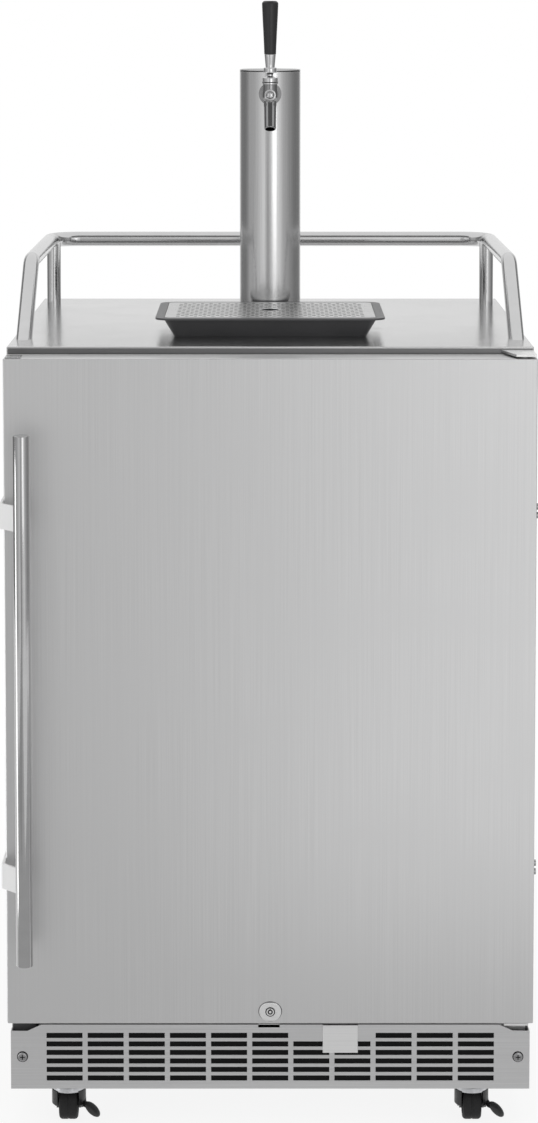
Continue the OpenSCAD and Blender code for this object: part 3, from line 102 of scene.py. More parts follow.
def settle(obj, name):
    """Names an object and puts its place into its mesh."""
    hold(obj)
    obj.name = name
    obj.data.name = name
    bpy.ops.object.transform_apply(location=True, rotation=True, scale=True)
    return obj


def pick(obj, kind, test):
    """Selects the faces, edges or vertices that pass a test, in edit mode."""
    bpy.ops.mesh.select_mode(type=kind)
    bpy.ops.mesh.select_all(action="DESELECT")
    mesh = bmesh.from_edit_mesh(obj.data)
    items = {"FACE": mesh.faces, "EDGE": mesh.edges, "VERT": mesh.verts}[kind]
    chosen = [item for item in items if test(item)]
    if not chosen:
        raise RuntimeError("nothing selected on " + obj.name)
    for item in chosen:
        item.select_set(True)
    mesh.select_flush_mode()
    bmesh.update_edit_mesh(obj.data)


def facing(axis, sign):
    """Test for faces whose normal points along an axis."""
    return lambda face: face.normal[axis] * sign > ALIGNED


def along(axis):
    """Test for edges that run along an axis."""
    def test(edge):
        run = edge.verts[1].co - edge.verts[0].co
        return run.length > TINY and abs(run[axis]) / run.length > ALIGNED
    return test


def at(axis, value):
    """Test for edges that lie in a plane across an axis."""
    return lambda edge: all(abs(v.co[axis] - value) < TOUCH for v in edge.verts)


def corner_of(low, high, axis=2):
    """Test for the edges along an axis at a box's four corners, upright ones unless another is given."""
    others = [a for a in range(3) if a != axis]
    def test(edge):
        return along(axis)(edge) and all(
            any(at(a, side[a])(edge) for side in (low, high)) for a in others)
    return test


def rim_of(low, high, axis, value):
    """Test for edges of one face of a box that lie on its outline."""
    others = [a for a in range(3) if a != axis]
    def test(edge):
        return at(axis, value)(edge) and any(
            at(a, side[a])(edge) for a in others for side in (low, high))
    return test


def chamfer(obj, test, width, segments=3):
    """Rounds the edges that pass a test."""
    hold(obj, "EDIT")
    pick(obj, "EDGE", test)
    bpy.ops.mesh.bevel(offset=width, segments=segments, affect="EDGES", clamp_overlap=True)
    bpy.ops.object.mode_set(mode="OBJECT")


def modify(obj, kind, **values):
    """Adds a modifier with its values and applies it."""
    hold(obj)
    modifier = obj.modifiers.new(kind.title(), kind)
    for key, value in values.items():
        setattr(modifier, key, value)
    bpy.ops.object.modifier_apply(modifier=modifier.name)
    return obj


def smooth(obj, angle=CREASE):
    """Shades an object smooth up to an angle."""
    hold(obj)
    bpy.ops.object.shade_smooth_by_angle(angle=math.radians(angle))
    return obj


def soften(obj, width, segments=2, angle=CREASE):
    """Rounds every sharp edge of an object and shades it smooth."""
    modify(obj, "BEVEL", width=width, segments=segments, limit_method="ANGLE",
           angle_limit=math.radians(angle), use_clamp_overlap=True)
    return flatten(smooth(obj, angle))


def flatten(obj):
    """Turns the normals beside rounded edges to the flat faces, so that sheets show no streaks."""
    return modify(obj, "WEIGHTED_NORMAL", mode="FACE_AREA", weight=80, keep_sharp=True)


def cut(obj, *cutters, operation="DIFFERENCE"):
    """Cuts other objects out of one, and removes them."""
    for cutter in cutters:
        modify(obj, "BOOLEAN", object=cutter, operation=operation, solver="EXACT")
        bpy.data.objects.remove(cutter)
    return obj


def weld(obj, distance, *steps):
    """Merges the vertices that lie together, and then takes further steps on the whole mesh."""
    if bpy.context.mode == "OBJECT":
        hold(obj, "EDIT")
    bpy.ops.mesh.select_all(action="SELECT")
    bpy.ops.mesh.remove_doubles(threshold=distance)
    for step in steps:
        step()
    bpy.ops.object.mode_set(mode="OBJECT")
    return obj


def turn_outwards():
    """Turns every selected face outwards, in edit mode."""
    bpy.ops.mesh.normals_make_consistent(inside=False)


def join_flat():
    """Joins the selected faces that lie flat together, in edit mode."""
    bpy.ops.mesh.dissolve_limited(angle_limit=math.radians(FLAT))


def drop_slivers():
    """Removes selected edges and faces without a size, in edit mode."""
    bpy.ops.mesh.dissolve_degenerate(threshold=MERGE)


def duplicate(source, name):
    """A new object with its own copy of another one's mesh."""
    obj = bpy.data.objects.new(name, source.data.copy())
    obj.data.name = name
    bpy.context.scene.collection.objects.link(obj)
    return obj


def join(name, *objs):
    """Joins objects into the first one."""
    hold(objs[0])
    for obj in objs[1:]:
        obj.select_set(True)
    bpy.ops.object.join()
    objs[0].name = name
    objs[0].data.name = name
    return objs[0]


# Starting shapes

def mm(*values):
    """A point or profile value given in millimetres."""
    return tuple(v * MM for v in values)


def profile(*points):
    """A lathe profile given in millimetres."""
    return [mm(r, h) for r, h in points]


def band(inner, outer, bottom, top):
    """A lathe profile of a square ring, in millimetres."""
    return profile((inner, bottom), (outer, bottom), (outer, top), (inner, top), (inner, bottom))


def arc(r, h, radius, start, end, steps=6):
    """Points of an arc in a lathe profile, in millimetres and degrees."""
    angles = [math.radians(start + (end - start) * k / steps) for k in range(steps + 1)]
    return [(r + radius * math.cos(a), h + radius * math.sin(a)) for a in angles]


def block(name, low, high):
    """A box between two corners."""
    low, high = Vector(low), Vector(high)
    bpy.ops.object.select_all(action="DESELECT")
    bpy.ops.mesh.primitive_cube_add(size=1, location=(low + high) / 2, scale=high - low)
    return settle(bpy.context.object, name)


def rod(name, start, end, radius, sides=48):
    """A round bar between two points."""
    start, end = Vector(start), Vector(end)
    run = end - start
    bpy.ops.object.select_all(action="DESELECT")
    bpy.ops.mesh.primitive_cylinder_add(vertices=sides, radius=radius, depth=run.length)
    obj = bpy.context.object
    obj.rotation_mode = "QUATERNION"
    obj.rotation_quaternion = run.to_track_quat("Z", "Y")
    obj.location = (start + end) / 2
    return settle(obj, name)


def trace(name, points):
    """A line of edges, extruded from one point to the next."""
    bpy.ops.object.select_all(action="DESELECT")
    bpy.ops.mesh.primitive_plane_add(size=1)
    obj = bpy.context.object
    obj.name = name
    hold(obj, "EDIT")
    bpy.ops.mesh.select_mode(type="VERT")
    bpy.ops.mesh.select_all(action="SELECT")
    bpy.ops.mesh.merge(type="CENTER")
    bpy.ops.transform.translate(value=points[0])
    for here, after in zip(points, points[1:]):
        step = Vector(after) - Vector(here)
        bpy.ops.mesh.extrude_region_move(TRANSFORM_OT_translate={"value": step})
    bpy.ops.mesh.select_all(action="SELECT")
    return obj


def lathe(name, outline, base=(0, 0, 0), turn=(0, 0, 0), steps=64):
    """An outline of radius and height spun round its axis, then turned and placed."""
    obj = trace(name, [(r, 0, h) for r, h in outline])
    bpy.ops.mesh.spin(steps=steps, angle=math.tau, center=(0, 0, 0), axis=(0, 0, 1))
    weld(obj, CLOSE, turn_outwards)
    obj.rotation_euler = [math.radians(a) for a in turn]
    obj.location = base
    return smooth(settle(obj, name))


def tube(name, points, radius):
    """A round tube along a line of points."""
    obj = trace(name, points)
    bpy.ops.object.mode_set(mode="OBJECT")
    hold(obj)
    bpy.ops.object.convert(target="CURVE")
    curve = bpy.context.object
    curve.data.dimensions = "3D"
    curve.data.bevel_depth = radius
    curve.data.bevel_resolution = 10
    curve.data.use_fill_caps = True
    bpy.ops.object.convert(target="MESH")
    obj = weld(settle(bpy.context.object, name), CLOSE, turn_outwards)
    return smooth(obj, BEND_CREASE)


def bend_points(centre, first, second, radius, angle=math.pi / 2, steps=12):
    """Points of a bend from one direction towards another."""
    first, second = Vector(first), Vector(second)
    angles = [angle * k / steps for k in range(steps + 1)]
    return [Vector(centre) + radius * (math.cos(a) * first + math.sin(a) * second) for a in angles]


def copy_of(node, name, joined=True):
    """A merged copy of a node's mesh, with its flat faces joined unless they have many holes."""
    obj = duplicate(NODES[node], name)
    hold(obj)
    bpy.ops.mesh.customdata_custom_splitnormals_clear()
    return weld(obj, MERGE, join_flat) if joined else weld(obj, MERGE)


# Finishes

def socket(group, name, kind, direction, default=None):
    """A named socket on a node group."""
    made = group.interface.new_socket(name=name, in_out=direction, socket_type=kind)
    if default is not None:
        made.default_value = default
    return made


def wire(tree, source, target):
    """Links an output to an input."""
    tree.links.new(source, target)


def new_group(name, inputs, outputs):
    """A shader node group with its sockets, and its input and output nodes."""
    group = bpy.data.node_groups.new(name, "ShaderNodeTree")
    for label, kind, default in inputs:
        socket(group, label, kind, "INPUT", default)
    for label, kind in outputs:
        socket(group, label, kind, "OUTPUT")
    return group, group.nodes.new("NodeGroupInput"), group.nodes.new("NodeGroupOutput")


def brushed_grain_group():
    """Long streaks of brushing, coarse and fine, from a stretched position."""
    if "brushed_grain" in bpy.data.node_groups:
        return bpy.data.node_groups["brushed_grain"]
    group, given, out = new_group(
        "brushed_grain",
        [("Position", "NodeSocketVector", None), ("Coarse", "NodeSocketFloat", 1.0),
         ("Fine", "NodeSocketFloat", 4.0)],
        [("Streak", "NodeSocketFloat"), ("Scratch", "NodeSocketFloat")],
    )
    for label, detail, result in (("Coarse", 3.0, "Streak"), ("Fine", 2.0, "Scratch")):
        noise = group.nodes.new("ShaderNodeTexNoise")
        noise.inputs["Detail"].default_value = detail
        wire(group, given.outputs["Position"], noise.inputs["Vector"])
        wire(group, given.outputs[label], noise.inputs["Scale"])
        wire(group, noise.outputs["Fac"], out.inputs[result])
    return group


def handling_group():
    """Soft patches of handling marks between two thresholds."""
    if "handling_marks" in bpy.data.node_groups:
        return bpy.data.node_groups["handling_marks"]
    group, given, out = new_group(
        "handling_marks",
        [("Position", "NodeSocketVector", None), ("Scale", "NodeSocketFloat", 6.0),
         ("From", "NodeSocketFloat", 0.4), ("To", "NodeSocketFloat", 0.7)],
        [("Mask", "NodeSocketFloat")],
    )
    noise = group.nodes.new("ShaderNodeTexNoise")
    noise.inputs["Detail"].default_value = 4.0
    noise.inputs["Distortion"].default_value = 0.6
    limit = group.nodes.new("ShaderNodeMapRange")
    wire(group, given.outputs["Position"], noise.inputs["Vector"])
    wire(group, given.outputs["Scale"], noise.inputs["Scale"])
    wire(group, noise.outputs["Fac"], limit.inputs["Value"])
    wire(group, given.outputs["From"], limit.inputs["From Min"])
    wire(group, given.outputs["To"], limit.inputs["From Max"])
    wire(group, limit.outputs["Result"], out.inputs["Mask"])
    return group


def moulded_group():
    """Fine pebble of a moulded or cast surface."""
    if "moulded_pebble" in bpy.data.node_groups:
        return bpy.data.node_groups["moulded_pebble"]
    group, given, out = new_group(
        "moulded_pebble",
        [("Position", "NodeSocketVector", None), ("Scale", "NodeSocketFloat", 900.0)],
        [("Height", "NodeSocketFloat"), ("Cell", "NodeSocketFloat")],
    )
    noise = group.nodes.new("ShaderNodeTexNoise")
    noise.inputs["Detail"].default_value = 3.0
    cells = group.nodes.new("ShaderNodeTexVoronoi")
    wire(group, given.outputs["Position"], noise.inputs["Vector"])
    wire(group, given.outputs["Position"], cells.inputs["Vector"])
    wire(group, given.outputs["Scale"], noise.inputs["Scale"])
    wire(group, given.outputs["Scale"], cells.inputs["Scale"])
    wire(group, noise.outputs["Fac"], out.inputs["Height"])
    wire(group, cells.outputs["Color"], out.inputs["Cell"])
    return group


def shade(color, factor):
    """A colour made lighter or darker."""
    return tuple(min(1.0, c * factor) for c in color[:3]) + (1.0,)


def start_material(name, metallic):
    """A material whose patterns read Object coordinates through a Mapping node."""
    material = bpy.data.materials.new(name)
    material.use_nodes = True
    tree = material.node_tree
    shader = tree.nodes["Principled BSDF"]
    shader.inputs["Metallic"].default_value = metallic
    place = tree.nodes.new("ShaderNodeTexCoord")
    mapping = tree.nodes.new("ShaderNodeMapping")
    wire(tree, place.outputs["Object"], mapping.inputs["Vector"])
    return material, tree, shader, mapping


def add_group(tree, group, position, **values):
    """Places a node group in a material with its own values."""
    node = tree.nodes.new("ShaderNodeGroup")
    node.node_tree = group
    wire(tree, position, node.inputs["Position"])
    for key, value in values.items():
        node.inputs[key].default_value = value
    return node


def blend_colour(tree, factor, low, high):
    """Mixes two colours or colour outputs by a factor."""
    mix = tree.nodes.new("ShaderNodeMix")
    mix.data_type = "RGBA"
    wire(tree, factor, mix.inputs["Factor"])
    for index, value in ((6, low), (7, high)):
        if hasattr(value, "links"):
            wire(tree, value, mix.inputs[index])
        else:
            mix.inputs[index].default_value = value
    return mix.outputs[2]


def ranged(tree, value, low, high, start=0.3, end=0.7):
    """Maps a value from one range to another."""
    node = tree.nodes.new("ShaderNodeMapRange")
    node.inputs["From Min"].default_value = start
    node.inputs["From Max"].default_value = end
    node.inputs["To Min"].default_value = low
    node.inputs["To Max"].default_value = high
    wire(tree, value, node.inputs["Value"])
    return node.outputs["Result"]


def bump(tree, shader, height, strength, distance):
    """Raises the surface by a height output."""
    node = tree.nodes.new("ShaderNodeBump")
    node.inputs["Strength"].default_value = strength
    node.inputs["Distance"].default_value = distance
    wire(tree, height, node.inputs["Height"])
    wire(tree, node.outputs["Normal"], shader.inputs["Normal"])


# Pattern scale along each axis, for brushing along one or for a cast surface
GRAIN = {"X": (5, 900, 900), "Y": (900, 5, 900), "Z": (900, 900, 5), None: (60, 60, 60)}


def metal(name, color, rough, grain=None, contrast=0.12, spread=0.06, marks=0.05, depth=0.00004):
    """Metal brushed along an axis, or cast and polished where none is given."""
    material, tree, shader, mapping = start_material(name, 1.0)
    mapping.inputs["Scale"].default_value = GRAIN[grain]
    grain_node = add_group(tree, brushed_grain_group(), mapping.outputs["Vector"], Coarse=1.0, Fine=5.0)
    place = mapping.inputs["Vector"].links[0].from_socket
    handled = add_group(tree, handling_group(), place, Scale=7.0, From=0.42, To=0.72)
    # Streaks darken by the contrast and lighten by half of it
    streak = ranged(tree, grain_node.outputs["Streak"], 0.0, 1.0)
    base = blend_colour(tree, streak, shade(color, 1 - contrast), shade(color, 1 + contrast * 0.5))
    base = blend_colour(tree, handled.outputs["Mask"], base, shade(color, 1 - marks))
    wire(tree, base, shader.inputs["Base Color"])
    scratched = ranged(tree, grain_node.outputs["Scratch"], rough - spread, rough + spread)
    # Handling marks add most of the spread to the roughness
    lift = tree.nodes.new("ShaderNodeMath")
    lift.operation = "MULTIPLY_ADD"
    lift.inputs[1].default_value = spread * 0.8
    wire(tree, handled.outputs["Mask"], lift.inputs[0])
    wire(tree, scratched, lift.inputs[2])
    wire(tree, lift.outputs[0], shader.inputs["Roughness"])
    if depth:
        bump(tree, shader, grain_node.outputs["Scratch"], 0.35, depth)
    return material


def polymer(name, color, rough, pebble=900.0, depth=0.00006, marks=0.12, spread=0.08, gloss=0.5):
    """Moulded plastic, rubber or paint with a fine pebble and faint handling marks."""
    material, tree, shader, mapping = start_material(name, 0.0)
    shader.inputs["Specular IOR Level"].default_value = gloss
    place = mapping.outputs["Vector"]
    grains = add_group(tree, moulded_group(), place, Scale=pebble)
    handled = add_group(tree, handling_group(), place, Scale=9.0, From=0.4, To=0.75)
    base = blend_colour(tree, handled.outputs["Mask"], shade(color, 1 - marks), shade(color, 1 + marks))
    wire(tree, base, shader.inputs["Base Color"])
    roughness = ranged(tree, grains.outputs["Height"], rough - spread, rough + spread)
    wire(tree, roughness, shader.inputs["Roughness"])
    bump(tree, shader, grains.outputs["Height"], 0.4, depth)
    return material


def galvanised(name, color, rough, spangle=90.0):
    """Zinc-coated steel with soft spangle."""
    material, tree, shader, mapping = start_material(name, 1.0)
    place = mapping.outputs["Vector"]
    cells = add_group(tree, moulded_group(), place, Scale=spangle)
    handled = add_group(tree, handling_group(), place, Scale=5.0, From=0.35, To=0.75)
    base = blend_colour(tree, cells.outputs["Cell"], shade(color, 0.82), shade(color, 1.1))
    base = blend_colour(tree, handled.outputs["Mask"], base, shade(color, 0.85))
    wire(tree, base, shader.inputs["Base Color"])
    roughness = ranged(tree, cells.outputs["Cell"], rough - 0.08, rough + 0.1, 0.0, 1.0)
    wire(tree, roughness, shader.inputs["Roughness"])
    bump(tree, shader, cells.outputs["Height"], 0.2, 0.00004)
    return material


def finish_table():
    """How each slot of the record and each further look is made, from the colours in the panel."""
    c = bpy.context.scene.keg_cooler_colours
    return {
        "worktop_steel": lambda n: metal(n, c.worktop, 0.18, "X", 0.08, 0.04, 0.03),
        "door_steel": lambda n: metal(n, c.door, 0.36, "Z", 0.045, 0.02, 0.02, 0.00002),
        "cabinet_steel": lambda n: metal(n, c.cabinet, 0.38, "Z", 0.09, 0.04, 0.04),
        "rear_steel": lambda n: galvanised(n, c.rear, 0.42),
        "frame_trim": lambda n: polymer(n, c.trim, 0.5, 500.0),
        "lining": lambda n: polymer(n, c.lining, 0.42, 260.0, 0.00012, 0.03),
        "foam": lambda n: polymer(n, c.foam, 0.9, 320.0, 0.0006, 0.15),
        "keg_plate": lambda n: metal(n, c.cabinet, 0.4, "Y", 0.15, marks=0.15),
        "fins": lambda n: metal(n, c.fins, 0.35, "Z", 0.12),
        "black_plastic": lambda n: polymer(n, c.black, 0.5, 800.0, gloss=0.3),
        "black_paint": lambda n: polymer(n, c.black, 0.4, 300.0),
        "copper": lambda n: metal(n, c.copper, 0.3, None, 0.3, 0.1, 0.3),
        "grille_steel": lambda n: metal(n, c.grille, 0.38, "X", 0.09, 0.04, 0.04),
        "screws": lambda n: metal(n, c.screws, 0.22, None, 0.1),
        "cover_plate": lambda n: metal(n, c.bright, 0.42, "X", 0.06),
        "hinge_steel": lambda n: metal(n, c.bright, 0.3, "X", 0.1),
        "polished_tube": lambda n: metal(n, c.tube, 0.13, None, 0.04, 0.02, 0.03, 0),
        "tower_steel": lambda n: metal(n, c.tower, 0.15, "Z", 0.1, 0.03, 0.03),
        "tap_chrome": lambda n: metal(n, c.chrome, 0.09, None, 0.05, 0.03, 0.08, 0),
        "tap_handle": lambda n: polymer(n, c.tap_handle, 0.36, 1100.0, 0.00003),
        "valve": lambda n: polymer(n, c.trim, 0.5),
        "tray_plastic": lambda n: polymer(n, c.tray, 0.38, 700.0),
        "grid_steel": lambda n: metal(n, c.grid, 0.3, "X", 0.1),
        "gasket": lambda n: polymer(n, c.gasket, 0.6, 600.0),
        "lock_metal": lambda n: metal(n, c.lock, 0.4, None, 0.06),
        "zinc": lambda n: galvanised(n, c.zinc, 0.34, 420.0),
        "wheel_rubber": lambda n: polymer(n, c.rubber, 0.62, 900.0, 0.0001, 0.25, gloss=0.3),
        "pedal": lambda n: polymer(n, c.black, 0.44, 800.0),
        "handle_tube": lambda n: metal(n, c.handle, 0.12, None, 0.04, 0.02, 0.03, 0),
        # Painted shade: a darker copy of the tap chrome, so that the body and collar read shaded against the
        # bright nut, tip, bonnet and lever
        "shaded_chrome": lambda n: metal(n, c.shaded_chrome, 0.1, None, 0.06, 0.03, 0.08, 0),
        # Painted shade: dark steel for the worktop's front lip, where shade falls above the door
        "painted_shade_strip": lambda n: metal(n, c.strip, 0.3, "X", 0.06, 0.04),
        "bracket_satin": lambda n: polymer(n, c.bracket, 0.4, 500.0, 0.00002, 0.03),
        # Painted shade: a near-black film for the walls of holes, seams, grooves, gaps and recesses where
        # shade falls
        "painted_shade_edge": lambda n: polymer(n, c.black, 0.8, 700.0, gloss=0.2),
        "screen_foam": lambda n: polymer(n, shade(c.black, 0.6), 0.95, 500.0, 0.0003, spread=0.04, gloss=0.1),
    }


def finish(slot):
    """The material of a slot or a look, made once."""
    name = slot + "_finish"
    if name not in bpy.data.materials:
        finish_table()[slot](name)
    return bpy.data.materials[name]


# Pieces and the bodies they ride on

def dress(obj, body, slot, look=None):
    """Puts a new piece on a body with its slot's finish, or a look of its own."""
    obj.data.materials.clear()
    obj.data.materials.append(finish(look or slot))
    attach(obj, body)
    return obj


def stand_in(obj, *nodes, look=None):
    """Lets a new piece stand for one or more nodes of the same body."""
    dress(obj, BODY_OF[nodes[0]], SLOT_OF[nodes[0]], look)
    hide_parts(*nodes)
    return obj


def soft_copy(node, width, segments=2, angle=CREASE, look=None):
    """A node's own shape with its edges rounded."""
    return stand_in(soften(copy_of(node, node + "_piece"), width, segments, angle), node, look=look)


class KegCoolerSizes(bpy.types.PropertyGroup):
    """Sizes that a user may change."""
    fold: bpy.props.FloatProperty(
        name="Fold radius", description="Radius of the folds along the door and the worktop",
        default=1.4 * MM, min=0.4 * MM, max=3 * MM, subtype="DISTANCE", unit="LENGTH")
    edge: bpy.props.FloatProperty(
        name="Edge radius", description="Radius of broken edges on small fittings",
        default=0.5 * MM, min=0.1 * MM, max=1 * MM, subtype="DISTANCE", unit="LENGTH")
    tray_corner: bpy.props.FloatProperty(
        name="Tray corner", description="Radius of the drip tray's corners",
        default=18 * MM, min=16.5 * MM, max=24 * MM, subtype="DISTANCE", unit="LENGTH")
    rail_bend: bpy.props.FloatProperty(
        name="Rail bend", description="Radius of the guard rail's bends",
        default=38 * MM, min=30 * MM, max=45 * MM, subtype="DISTANCE", unit="LENGTH")
    leg_lean: bpy.props.FloatProperty(
        name="Leg lean", description="Distance that the guard rail's front legs lean back",
        default=112 * MM, min=95 * MM, max=125 * MM, subtype="DISTANCE", unit="LENGTH")


def sizes():
    """The sizes set in the panel."""
    return bpy.context.scene.keg_cooler_sizes


def colour(name, description, value):
    """A colour property with its default."""
    return bpy.props.FloatVectorProperty(
        name=name, description=description, default=value, size=3, min=0, max=1, subtype="COLOR")


class KegCoolerColours(bpy.types.PropertyGroup):
    """Base colours of the finishes."""
    worktop: colour("Worktop", "Brushed steel of the worktop", (0.625, 0.625, 0.625))
    door: colour("Door", "Brushed steel of the door", (0.665, 0.665, 0.667))
    cabinet: colour("Cabinet", "Brushed steel of the cabinet's sides", (0.52, 0.52, 0.522))
    grille: colour("Grille", "Brushed steel of the kick grille", (0.66, 0.66, 0.664))
    tower: colour("Tower", "Brushed steel of the tower", (0.6, 0.6, 0.602))
    tube: colour("Tube", "Polished steel of the guard rail", (0.6, 0.6, 0.602))
    bright: colour("Bright fittings", "Hinges and the cover plate", (0.86, 0.86, 0.86))
    bracket: colour("Handle brackets", "Satin enamel of the handle's brackets", (0.8, 0.8, 0.8))
    handle: colour("Handle", "Polished steel of the door's handle", (0.47, 0.47, 0.472))
    # Painted shade: a darker copy of the tap's chrome for its body and collar
    shaded_chrome: colour("Dark chrome", "Shaded chrome of the tap's body and collar", (0.3, 0.3, 0.303))
    # Painted shade of the worktop's front lip, drawn as dark steel
    strip: colour("Edge strip", "Dark steel below the worktop's front edge", (0.2, 0.2, 0.202))
    screws: colour("Screws", "Nickel plating of the screw heads", (0.36, 0.36, 0.365))
    lock: colour("Lock", "Satin plating of the lock", (0.84, 0.84, 0.84))
    chrome: colour("Chrome", "Chrome of the tap", (0.66, 0.66, 0.665))
    grid: colour("Grid", "Steel of the drip grid", (0.64, 0.64, 0.64))
    rear: colour("Rear", "Zinc-coated steel of the back", (0.5, 0.51, 0.52))
    zinc: colour("Zinc", "Zinc plating of the casters", (0.66, 0.67, 0.69))
    fins: colour("Fins", "Aluminium of the cooling fins", (0.7, 0.71, 0.73))
    copper: colour("Copper", "Refrigerant tubes", (0.72, 0.38, 0.22))
    lining: colour("Lining", "Plastic of the keg chamber", (0.74, 0.74, 0.73))
    foam: colour("Foam", "Insulating foam", (0.78, 0.68, 0.42))
    tray: colour("Tray", "Charcoal plastic of the drip tray", (0.075, 0.075, 0.078))
    tap_handle: colour("Tap handle", "Black plastic of the tap handle", (0.014, 0.014, 0.015))
    trim: colour("Trim", "Dark trim round the door's opening", (0.06, 0.06, 0.062))
    gasket: colour("Gasket", "Rubber of the door seal", (0.09, 0.09, 0.092))
    black: colour("Black", "Black paint and plastic", (0.014, 0.014, 0.0145))
    rubber: colour("Rubber", "Tyres of the casters", (0.01, 0.01, 0.0105))


class KEGCOOLER_OT_stage(bpy.types.Operator):
    """Sets the camera, floor, world, soft studio lights and reflection cards"""
    bl_idname = "keg_cooler.stage"
    bl_label = "Stage"

    LENS = 96.06
    SHIFT = -0.275
    CAMERA = (-0.0014, -3.6548, 1.2972)
    PITCH = 4.55
    FLOOR_GREY = 0.86
    # Share of white on the floor, near and far, and the distances between which it grows
    FLOOR_WHITE = (0.87, 1.0, 0.5, 1.6)
    AMBIENT = 0.75
    WALL_RADIUS = 4.0
    WALL_HEIGHT = 3.0
    # Greys of the wall by degrees to the right of the front
    WALL = (
        (-160, 0.85), (-140, 0.27), (-109, 0.25), (-91, 0.39), (-75, 0.52), (-61, 0.56), (-48, 0.68),
        (-35, 0.84), (-24, 0.97), (-19, 0.9), (-16, 0.6), (-2, 0.6), (1, 1.0), (34, 1.0), (48, 0.65),
        (61, 0.53), (75, 0.44), (91, 0.33), (109, 0.25), (140, 0.27), (160, 0.85), (180, 0.88),
    )
    # Name, place, target, size and power of each lamp
    LAMPS = (
        ("key", (1.4, -2.6, 1.15), (0.0, 0.0, 0.8), (1.2, 1.7), 10),
        ("fill", (-2.6, -2.4, 2.2), (0.0, 0.0, 0.6), (1.6, 2.0), 12),
        ("top", (0.0, 0.2, 3.6), (0.0, 0.0, 0.9), (2.2, 2.2), 18),
    )
    # Name, place, size, target and brightness of each card
    CARDS = (
        ("card_floor_left", (-0.25, -2.4, 0.004), (0.5, 3.2), (-0.25, -2.4, 1.0), 0.6),
        ("card_floor_far", (-1.0, -2.4, 0.004), (1.0, 3.2), (-1.0, -2.4, 1.0), 0.46),
        ("card_low_left", (-0.78, -3.86, 0.42), (1.5, 0.84), (-0.78, 0.0, 0.42), 0.46),
        ("card_low_right", (0.78, -3.86, 0.42), (1.5, 0.84), (0.78, 0.0, 0.42), 0.78),
        ("card_floor_near", (0.0, -0.68, 0.006), (4.0, 0.75), (0.0, -0.68, 1.0), 0.55),
        ("card_above", (0.0, -1.8, 3.1), (4.0, 1.6), (0.0, 0.0, 1.2), 0.22),
        ("card_strip", (1.02, -3.35, 1.2), (1.0, 1.0), (0.0, 0.0, 1.2), 2.0),
        ("card_side", (-0.878, -0.359, 0.41), (0.22, 0.8), (-0.278, -0.338, 0.41), 3.0),
    )

    def execute(self, context):
        scene = context.scene
        scene.view_settings.view_transform = "Standard"
        bpy.ops.object.select_all(action="DESELECT")
        bpy.ops.object.camera_add(location=self.CAMERA, rotation=(math.radians(90 - self.PITCH), 0, 0))
        camera = context.object
        camera.data.lens = self.LENS
        camera.data.sensor_width = 36
        camera.data.shift_y = self.SHIFT
        camera.data.clip_end = 200
        scene.camera = camera
        self.floor()
        self.world(scene)
        self.lights()
        self.cards()
        self.wall()
        return {"FINISHED"}

    def seen(self, tree):
        """One where the camera, a reflection or a glass looks, and nought for light."""
        path = tree.nodes.new("ShaderNodeLightPath")
        last = path.outputs["Is Camera Ray"]
        for name in ("Is Glossy Ray", "Is Transmission Ray"):
            more = tree.nodes.new("ShaderNodeMath")
            more.operation = "MAXIMUM"
            wire(tree, last, more.inputs[0])
            wire(tree, path.outputs[name], more.inputs[1])
            last = more.outputs[0]
        return last

    def floor(self):
        """Pale floor that keeps the shadow near the object and fades to white away from it."""
        bpy.ops.mesh.primitive_plane_add(size=80)
        floor = settle(bpy.context.object, "studio_floor")
        material = bpy.data.materials.new("studio_floor")
        material.use_nodes = True
        tree = material.node_tree
        shader = tree.nodes["Principled BSDF"]
        shader.inputs["Base Color"].default_value = (*[self.FLOOR_GREY] * 3, 1)
        shader.inputs["Roughness"].default_value = 0.9
        glow = tree.nodes.new("ShaderNodeEmission")
        place = tree.nodes.new("ShaderNodeTexCoord")
        away = tree.nodes.new("ShaderNodeVectorMath")
        away.operation = "LENGTH"
        wire(tree, place.outputs["Object"], away.inputs[0])
        part = tree.nodes.new("ShaderNodeMath")
        part.operation = "MULTIPLY"
        wire(tree, ranged(tree, away.outputs["Value"], *self.FLOOR_WHITE), part.inputs[1])
        mix = tree.nodes.new("ShaderNodeMixShader")
        wire(tree, self.seen(tree), part.inputs[0])
        wire(tree, part.outputs[0], mix.inputs[0])
        wire(tree, shader.outputs[0], mix.inputs[1])
        wire(tree, glow.outputs[0], mix.inputs[2])
        wire(tree, mix.outputs[0], tree.nodes["Material Output"].inputs["Surface"])
        floor.data.materials.append(material)

    def world(self, scene):
        """White where it is seen, and a little less as light."""
        world = bpy.data.worlds.new("studio")
        scene.world = world
        world.use_nodes = True
        tree = world.node_tree
        background = tree.nodes["Background"]
        background.inputs["Color"].default_value = (1, 1, 1, 1)
        strength = ranged(tree, self.seen(tree), self.AMBIENT, 1.0, 0.0, 1.0)
        wire(tree, strength, background.inputs["Strength"])

    def lights(self):
        """Soft lamps that only light, and show in no reflection."""
        for name, place, target, size, power in self.LAMPS:
            bpy.ops.object.light_add(type="AREA", location=place)
            light = bpy.context.object
            light.name = name
            light.rotation_mode = "QUATERNION"
            light.rotation_quaternion = (Vector(target) - Vector(place)).to_track_quat("-Z", "Y")
            light.data.shape = "RECTANGLE"
            light.data.size, light.data.size_y = size
            light.data.energy = power
            light.visible_camera = False
            light.visible_glossy = False

    def cards(self):
        """Grey cards that shape what the steel reflects."""
        for name, place, size, target, brightness in self.CARDS:
            bpy.ops.mesh.primitive_plane_add(size=1, location=place)
            card = bpy.context.object
            card.scale = (size[0], size[1], 1)
            card.rotation_mode = "QUATERNION"
            card.rotation_quaternion = (Vector(target) - Vector(place)).to_track_quat("Z", "Y")
            glow = self.mirrored_only(settle(card, name))[1]
            glow.inputs["Strength"].default_value = brightness

